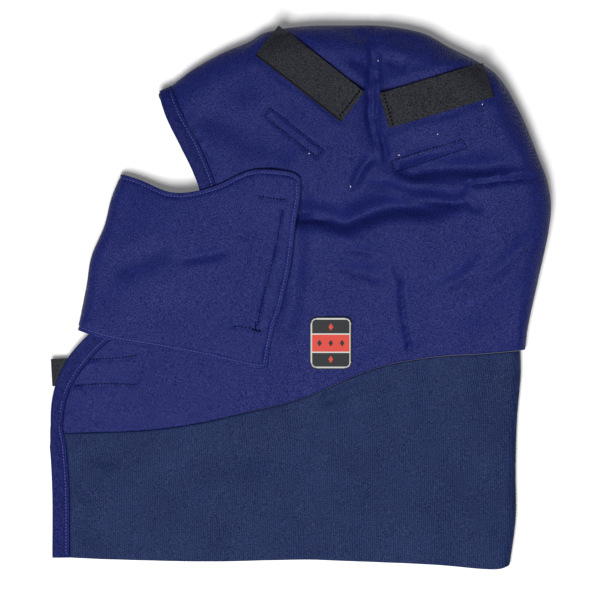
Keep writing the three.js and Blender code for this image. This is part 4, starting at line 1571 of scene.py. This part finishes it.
@dataclass
class Mouthpiece:
    """The folded mouthpiece with its hemmed edges and its fasteners."""

    form: HoodForm
    wardrobe: Wardrobe
    rows: int = 80
    columns: int = 90
    hem_in: float = 2.7 * MM
    droop: float = 1.1 * MM

    def edges(self, points: Array) -> Array:
        """How far points are from the three hemmed edges.

        Args:
            points: Places, a row of x and y each.

        Returns:
            The values, in the order of what was given.
        """
        form = self.form
        hemmed = (form.mask_top, form.mask_end, form.mask_bottom)
        return np.minimum.reduce([path.distance(points) for path in hemmed])

    def near(self, points: Array) -> Array:
        """Upper half, drooping a little where its edge hangs over the cheek."""
        away = self.edges(points)
        return self.form.mask_near(points) - self.droop * (1 - smooth(0.0, 7 * MM, away))

    def build(self) -> list[bpy.types.Object]:
        """Builds the mouthpiece, its stitching and the patches under it.

        Returns:
            The objects that were built.
        """
        form = self.form
        left, right = Run(form.mask_end, 0.0, 1.0), Run(form.mask_fold, 0.0, 1.0)
        top, bottom = Run(form.mask_top, 1.0, 0.0), Run(form.mask_bottom, 1.0, 0.0)
        u = shares_across(0.14, Spacing.HEM.value, round_spacing(form.mask_fold_radius), self.columns)
        v = shares_across(0.12, Spacing.HEM.value, Spacing.HEM.value, self.rows)
        across, down = np.meshgrid(u, v)
        plan = between(left, right, top, bottom, across, down)
        base = folded(plan, self.near, form.mask_far)
        relief = self.relief(base, plan)
        ends = {side: Rim.SQUARE for side in ("start", "end", "first", "last")}
        mask = ClothWall("mouthpiece_twill", base, form.mask_wall, ends, relief).build()
        self.wardrobe.finish(mask, TWILL, "twill", ["mouthpiece"])
        return [mask, *self.stitching(), *self.fasteners()]

    def relief(self, base: Array, plan: Array) -> Array:
        """Fine relief: rolled hem, stitch dips, the patch's outline and soft waves.

        Args:
            base: Grid of places on the cloth, with heights.
            plan: Flat grid of places.

        Returns:
            The values, in the order of what was given.
        """
        points = base[..., :2].reshape(-1, 2)
        upper = np.zeros(base.shape[:2])
        upper[:, : plan.shape[1]] = 1.0
        upper = upper.reshape(-1)
        away = self.edges(points)
        ripple = Ripple(41, 7 * MM)(points)
        relief = hem_roll(away, 0.6 * MM, 0.9 * MM) + stitched_dip(away, self.hem_in, 0.6 * MM, 0.8 * MM)
        relief += upper * 0.2 * MM * ripple * bell((away - 3 * MM) / (4 * MM))
        for row, depth in zip((*MASK_PATCH_ROWS, MASK_PATCH_LEFT), (1.2, 1.3, 1.2, 0.9)):
            outline = Path(row).distance(points)
            dip = depth * MM * bell(outline / (1.3 * MM))
            relief += upper * (0.15 * MM * ripple * bell(outline / (4 * MM)) - dip)
        relief += upper * sum(crease.lift(points) for crease in MASK_CREASES)
        relief += upper * Ripple(42, 45 * MM)(points) * 0.45 * MM * smooth(0.0, 0.012, away)
        return relief.reshape(base.shape[:2])

    def stitching(self) -> list[bpy.types.Object]:
        """Sews the hems and the patch's outline.

        Returns:
            The objects that were built.
        """
        form = self.form
        rows = []
        for path, side in ((form.mask_top, -1.0), (form.mask_end, -1.0), (form.mask_bottom, 1.0)):
            shares = np.linspace(0.02, 0.98, 240)
            rows.append(path.at(shares) + path.left(shares) * side * self.hem_in)
        hems = stitch_rows("mouthpiece_hem_stitch", rows, self.near, Thread(), -0.25 * MM)
        patch = stitch_rows("mouthpiece_patch_stitch", [Path(row).line for row in MASK_PATCH_ROWS], self.near,
                            Thread(), -0.35 * MM)
        knot = stitch_rows("mouthpiece_thread_end", [Path(row).line for row in THREAD_ENDS], self.near,
                           Thread(2.0 * MM, 1.1, 0.3 * MM), 0.25 * MM)
        looks = ((hems, TWILL_THREAD), (patch, SEWN_THREAD), (knot, DARK_THREAD))
        return [self.wardrobe.finish(piece, look, "twill") for piece, look in looks]

    def fasteners(self) -> list[bpy.types.Object]:
        """Builds the pressed hook-and-loop patches.

        Returns:
            The objects that were built.
        """
        form = self.form
        surfaces = {
            "near": lambda p: form.loft(p) + form.layer_gap,
            "far": lambda p: np.full(len(p), form.mask_wall + form.layer_gap),
        }
        made = []
        for side, surface in surfaces.items():
            strip = Strip(f"fastener_{side}_tape", FASTENER, form.fastener_thickness, surface)
            piece = self.wardrobe.finish(strip.build(), TAPE, "tape", [f"mouthpiece_fastener_{side}"])
            made.append(piece)
        return made


@dataclass
class Strip:
    """A flat strip on a surface, with softened edges and rounded corners."""

    name: str
    footprint: Footprint
    thickness: float
    surface: Surface
    shift: float = 0.0
    corner: float = 0.4 * MM
    soften: float = 0.3 * MM
    even: tuple[int, int] = (60, 24)
    relief: Callable[[Array], Array] | None = None

    def build(self) -> bpy.types.Object:
        """Makes the strip's mesh object.

        Returns:
            The object.
        """
        near_edge = tuple(v * MM for v in (0.0, 0.08, 0.2, 0.4, 0.7, 1.1))
        length, width = self.footprint.length, self.footprint.width
        aside = (shares_across(width, near_edge, near_edge, self.even[1]) - 0.5) * width
        ahead = shares_across(length, near_edge, near_edge, self.even[0]) - 0.5
        past = np.clip(np.abs(aside) - (width / 2 - self.corner), 0, self.corner)
        trim = self.corner - np.sqrt(np.maximum(self.corner**2 - past**2, 0.0))
        local_x = ahead[None, :] * (length - 2 * trim[:, None])
        local_y = np.broadcast_to(aside[:, None], local_x.shape)
        plan = self.footprint.world(local_x, local_y + self.shift)
        flat = plan.reshape(-1, 2)
        under = self.surface(flat).reshape(plan.shape[:2])
        edge = np.minimum(width / 2 - np.abs(local_y), length / 2 - trim[:, None] - np.abs(local_x))
        soft = self.soften * (1 - bulge(edge / (1.2 * self.soften)))
        local = np.stack((local_x, local_y), axis=-1).reshape(-1, 2)
        raised = 0.0 if self.relief is None else self.relief(local).reshape(plan.shape[:2])
        top = np.concatenate((plan, (under + self.thickness - soft + raised)[..., None]), axis=2)
        low = np.concatenate((plan, (under + soft * 0.5)[..., None]), axis=2)
        return grid_solid(self.name, top, low)


@dataclass
class CrownStraps:
    """The hook-and-loop straps on the crown, each of two tapes."""

    form: HoodForm
    wardrobe: Wardrobe
    stitch_in: float = 3.2 * MM

    def build(self) -> list[bpy.types.Object]:
        """Builds the four tapes of each strap and their stitching.

        Returns:
            The objects that were built.
        """
        made = []
        for name, middle, peek, inner in (("crown_front_strap", FRONT_STRAP, 1.0, 1.0),
                                          ("crown_back_strap", BACK_STRAP, 0.0, -1.0)):
            tape = Footprint(middle.along, middle.up, middle.turn, TAPE_LENGTH, TAPE_WIDTH)
            for layer, word in enumerate(("lower", "upper")):
                shift = 0.0 if layer else -TAPE_PEEK * peek
                for side in ("near", "far"):
                    made.append(self.tape(f"{name}_{side}_{word}", tape, layer, side, shift, inner))
            made.append(self.stitches(name, tape, inner))
        return made

    def seat(self, layer: int, side: str) -> Surface:
        """Surface under one of the tapes.

        Args:
            layer: Number of the tape, from the cloth up.
            side: Near or far side.

        Returns:
            A surface that gives heights at places.
        """
        form = self.form
        step = form.tape_thickness + form.layer_gap
        if side == "near":
            return lambda p: form.crown_seat(p) + form.tape_seat_gap + layer * step
        return lambda p: np.full(len(p), (1 - layer) * step)

    def tape(
        self, node: str, tape: Footprint, layer: int, side: str, shift: float, inner: float
    ) -> bpy.types.Object:
        """Builds one tape with its thinner selvedges and the dip of its stitches.

        Args:
            node: Node to feed, or the CAD node that is replaced.
            tape: Place of the tape.
            layer: Number of the tape, from the cloth up.
            side: Near or far side.
            shift: Movement of the places by share of the run.
            inner: Height of the face that touches the cloth.

        Returns:
            The object.
        """
        def relief(local: Array) -> Array:
            """Gives the fine relief at places."""
            edge = tape.width / 2 - np.abs(local[:, 1])
            end = tape.length / 2 - inner * local[:, 0]
            woven = -0.12 * MM * bell((edge - 1.3 * MM) / (0.35 * MM))
            return woven - 0.5 * MM * bell((end - self.stitch_in) / (0.8 * MM)) * layer

        strip = Strip(f"{node}_tape", tape, self.form.tape_thickness, self.seat(layer, side), shift,
                      even=(70, 26), relief=relief if side == "near" else None)
        # Lower tapes take the darker finish: partly the hook tape's own colour, partly painted shade of the
        # gap under the upper tape
        piece = self.wardrobe.finish(strip.build(), TAPE if layer else HOOK_TAPE_PAINTED_SHADE, "tape", [node])
        return piece

    def stitches(self, name: str, tape: Footprint, inner: float) -> bpy.types.Object:
        """Sews the strap down across its inner end.

        Args:
            name: Name of the object.
            tape: Place of the tape.
            inner: Height of the face that touches the cloth.

        Returns:
            The object.
        """
        aside = np.linspace(-0.5, 0.5, 60) * (tape.width - 1.6 * MM)
        ahead = np.full(60, inner * (tape.length / 2 - self.stitch_in))
        seat = self.seat(1, "near")
        row = stitch_rows(f"{name}_stitch", [tape.world(ahead, aside)], seat,
                          Thread(2.6 * MM, 0.7, 0.6 * MM), self.form.tape_thickness - 0.2 * MM)
        return self.wardrobe.finish(row, DARK_THREAD, "tape")


@dataclass
class NeckTab:
    """The closure tab inside the near front."""

    form: HoodForm
    wardrobe: Wardrobe
    thickness: float = 1.2 * MM

    def build(self) -> bpy.types.Object:
        """Builds the tab.

        Returns:
            The object.
        """
        form = self.form
        under = form.facing_wall + form.layer_gap + self.thickness
        strip = Strip("neck_tab_tape", NECK_TAB, self.thickness, lambda p: form.loft(p) - under, even=(50, 16))
        piece = self.wardrobe.finish(strip.build(), TAPE, "tape", ["neck_tab"])
        return piece


@dataclass
class BadgePatch:
    """A small moulded patch of plain bands in a raised border."""

    form: HoodForm
    wardrobe: Wardrobe
    thickness: float = 1.5 * MM
    corner: float = 5 * MM
    border: float = 1.6 * MM
    band: float = 6.5 * MM

    def build(self) -> bpy.types.Object:
        """Builds the patch and colours its bands.

        Returns:
            The object.
        """
        form = self.form

        def relief(local: Array) -> Array:
            """Gives the fine relief at places."""
            rim = self.rim(local)
            raised = 1 - smooth(0.9 * MM, 1.4 * MM, rim)
            line = bell((np.abs(local[:, 1]) - self.band) / (0.5 * MM))
            return 0.25 * MM * np.maximum(raised, line)

        strip = Strip("badge_patch_rubber", BADGE, self.thickness * 0.8,
                      lambda p: form.loft(p) + form.layer_gap,
                      corner=self.corner, even=(90, 110), relief=relief)
        piece = self.wardrobe.finish(strip.build(), RUBBER_DARK, "badge", ["badge_patch"])
        for look in (RUBBER_RED, RUBBER_WHITE):
            piece.data.materials.append(look.material(self.wardrobe.effects))
        centres = np.array([face.center[:2] for face in piece.data.polygons])
        local = BADGE.local(centres)
        rim, level = self.rim(local), np.abs(local[:, 1])
        slots = np.where(level < self.band, 1, 0)
        for x, y, slot in ((-8, 0, 0), (0, 0, 0), (8, 0, 0), (0, 11.5, 1), (0, -11.5, 1)):
            away = np.abs(local - np.array((x, y)) * MM) / np.array((1.7 * MM, 2.5 * MM))
            slots = np.where(away.sum(axis=1) < 1, slot, slots)
        slots = np.where(np.abs(level - self.band) < 0.45 * MM, 2, slots)
        slots = np.where((rim > 0.9 * MM) & (rim < 1.6 * MM), 2, slots)
        slots = np.where(rim <= 0.9 * MM, 0, slots)
        piece.data.polygons.foreach_set("material_index", slots.astype(np.int32))
        return piece

    def rim(self, local: Array) -> Array:
        """How far places are from the patch's rounded outline.

        Args:
            local: Places along and across the footprint.

        Returns:
            The values, in the order of what was given.
        """
        half = np.array((BADGE.length, BADGE.width)) / 2 - self.corner
        over = np.abs(local) - half
        outside = np.linalg.norm(np.maximum(over, 0.0), axis=1)
        inside = np.minimum(over.max(axis=1), 0.0)
        return self.corner - (outside + inside)


@dataclass
class Trimmings:
    """Stitched rectangles of the near side and the lint on it."""

    form: HoodForm
    wardrobe: Wardrobe
    lint: Places = (
        (0.599, 0.702), (0.518, 0.762), (0.695, 0.759), (0.859, 0.851), (0.771, 0.797), (0.655, 0.932),
    )

    def build(self) -> list[bpy.types.Object]:
        """Sews the rectangles and strews the lint.

        Returns:
            The objects that were built.
        """
        surface = self.form.near_creased
        rows = rectangle_rows(UPPER_RECTANGLES) + [Path(row).line for row in TAB_ROWS]
        sewn = stitch_rows("side_rectangle_stitch", rows, surface, Thread(), -0.15 * MM)
        return [self.wardrobe.finish(sewn, SEWN_THREAD, "twill"), self.fold(surface), self.fibres(surface)]

    def fold(self, surface: Surface) -> bpy.types.Object:
        """Makes the raised fold of cloth along the sewn dart at the nape.

        Args:
            surface: Height of the cloth at places.

        Returns:
            The object.
        """
        path = Path(NAPE_DART)
        shares = np.linspace(0.02, 0.97, 90)
        row = path.at(shares) + path.left(shares) * 0.9 * MM
        normals = surface_normals(row, surface)
        spine = np.concatenate((row, surface(row)[:, None]), axis=1)
        swell = np.minimum(1.0, np.minimum(shares / 0.15, (1 - shares) / 0.2 + 0.3))
        turn = np.arange(12) * math.pi / 6
        aside = np.concatenate((path.left(shares), np.zeros((90, 1))), axis=1)
        rings = (
            spine[:, None]
            + np.cos(turn)[None, :, None] * aside[:, None] * swell[:, None, None] * 1.1 * MM
            + np.sin(turn)[None, :, None] * normals[:, None] * swell[:, None, None] * 0.75 * MM
        )
        piece = closed_tube("nape_dart_fold", rings)
        return self.wardrobe.finish(piece, TWILL, "twill")

    def fibres(self, surface: Surface) -> bpy.types.Object:
        """Makes short curled fibres that lie on the cloth.

        Args:
            surface: Height of the cloth at places.

        Returns:
            The object.
        """
        draw = np.random.default_rng(7)
        rows = []
        for spot in self.lint:
            angle = draw.uniform(0, math.pi)
            span = np.linspace(-0.5, 0.5, 7) * draw.uniform(0.8, 1.6) * MM
            curl = (span / MM) ** 2 * draw.uniform(-0.3, 0.3) * MM
            x = span * math.cos(angle) - curl * math.sin(angle)
            y = span * math.sin(angle) + curl * math.cos(angle)
            rows.append(place(*spot) + np.stack((x, y), axis=1))
        made = stitch_rows("lint_fibres", rows, surface, Thread(5 * MM, 0.3, 0.22 * MM), 0.4 * MM)
        return self.wardrobe.finish(made, LINT, "twill")


@dataclass
class Studio:
    """Floor, lights and the camera straight above."""

    eye_height: float = 2.0
    eye_place: tuple[float, float] = (-0.0001, -0.0017)
    view_width: float = 0.4269
    sensor: float = 36.0
    key_spot: tuple[float, float, float] = (-0.17, -0.48, 1.55)
    key_size: float = 0.55
    key_power: float = 33.0
    world: float = 0.07

    def build(self, effects: Effects) -> None:
        """Sets up the stage.

        Args:
            effects: The shared node groups.
        """
        scene = bpy.context.scene
        scene.view_settings.view_transform = "Standard"
        bpy.ops.mesh.primitive_plane_add(size=6.0, location=(0, 0, 0))
        floor = bpy.context.object
        floor.name = "studio_floor"
        floor.data.materials.append(FLOOR.material(effects))
        lens = self.sensor * (self.eye_height - 0.012) / self.view_width
        data = bpy.data.cameras.new("camera")
        data.lens, data.sensor_width = lens, self.sensor
        camera = bpy.data.objects.new("camera", data)
        camera.location = (*self.eye_place, self.eye_height)
        scene.collection.objects.link(camera)
        scene.camera = camera
        self.area("key", self.key_spot, self.key_power, self.key_size)
        world = bpy.data.worlds.new("studio")
        world.use_nodes = True
        world.node_tree.nodes["Background"].inputs[0].default_value = (1.0, 1.0, 1.0, 1.0)
        world.node_tree.nodes["Background"].inputs[1].default_value = self.world
        scene.world = world

    @staticmethod
    def area(name: str, spot: tuple[float, float, float], power: float, size: float) -> None:
        """Adds a soft light that looks at the liner.

        Args:
            name: Name of the object.
            spot: Place of the lamp.
            power: Power of the lamp.
            size: Width of the lamp.
        """
        data = bpy.data.lights.new(name, "AREA")
        data.energy, data.size = power, size
        light = bpy.data.objects.new(name, data)
        light.location = spot
        x, y, z = spot
        light.rotation_euler = (math.atan2(math.hypot(x, y), z), 0.0, math.atan2(y, x) + math.pi / 2)
        bpy.context.scene.collection.objects.link(light)


def main() -> None:
    """Builds the liner around the frame."""
    logging.basicConfig(level=logging.INFO, format="%(name)s %(message)s")
    form, wardrobe = HoodForm(), Wardrobe()
    Studio().build(wardrobe.effects)
    for part in (SidePanels, Facings, Bib, Mouthpiece, CrownStraps, NeckTab, BadgePatch, Trimmings):
        part(form, wardrobe).build()


if __name__ == "__main__":
    main()
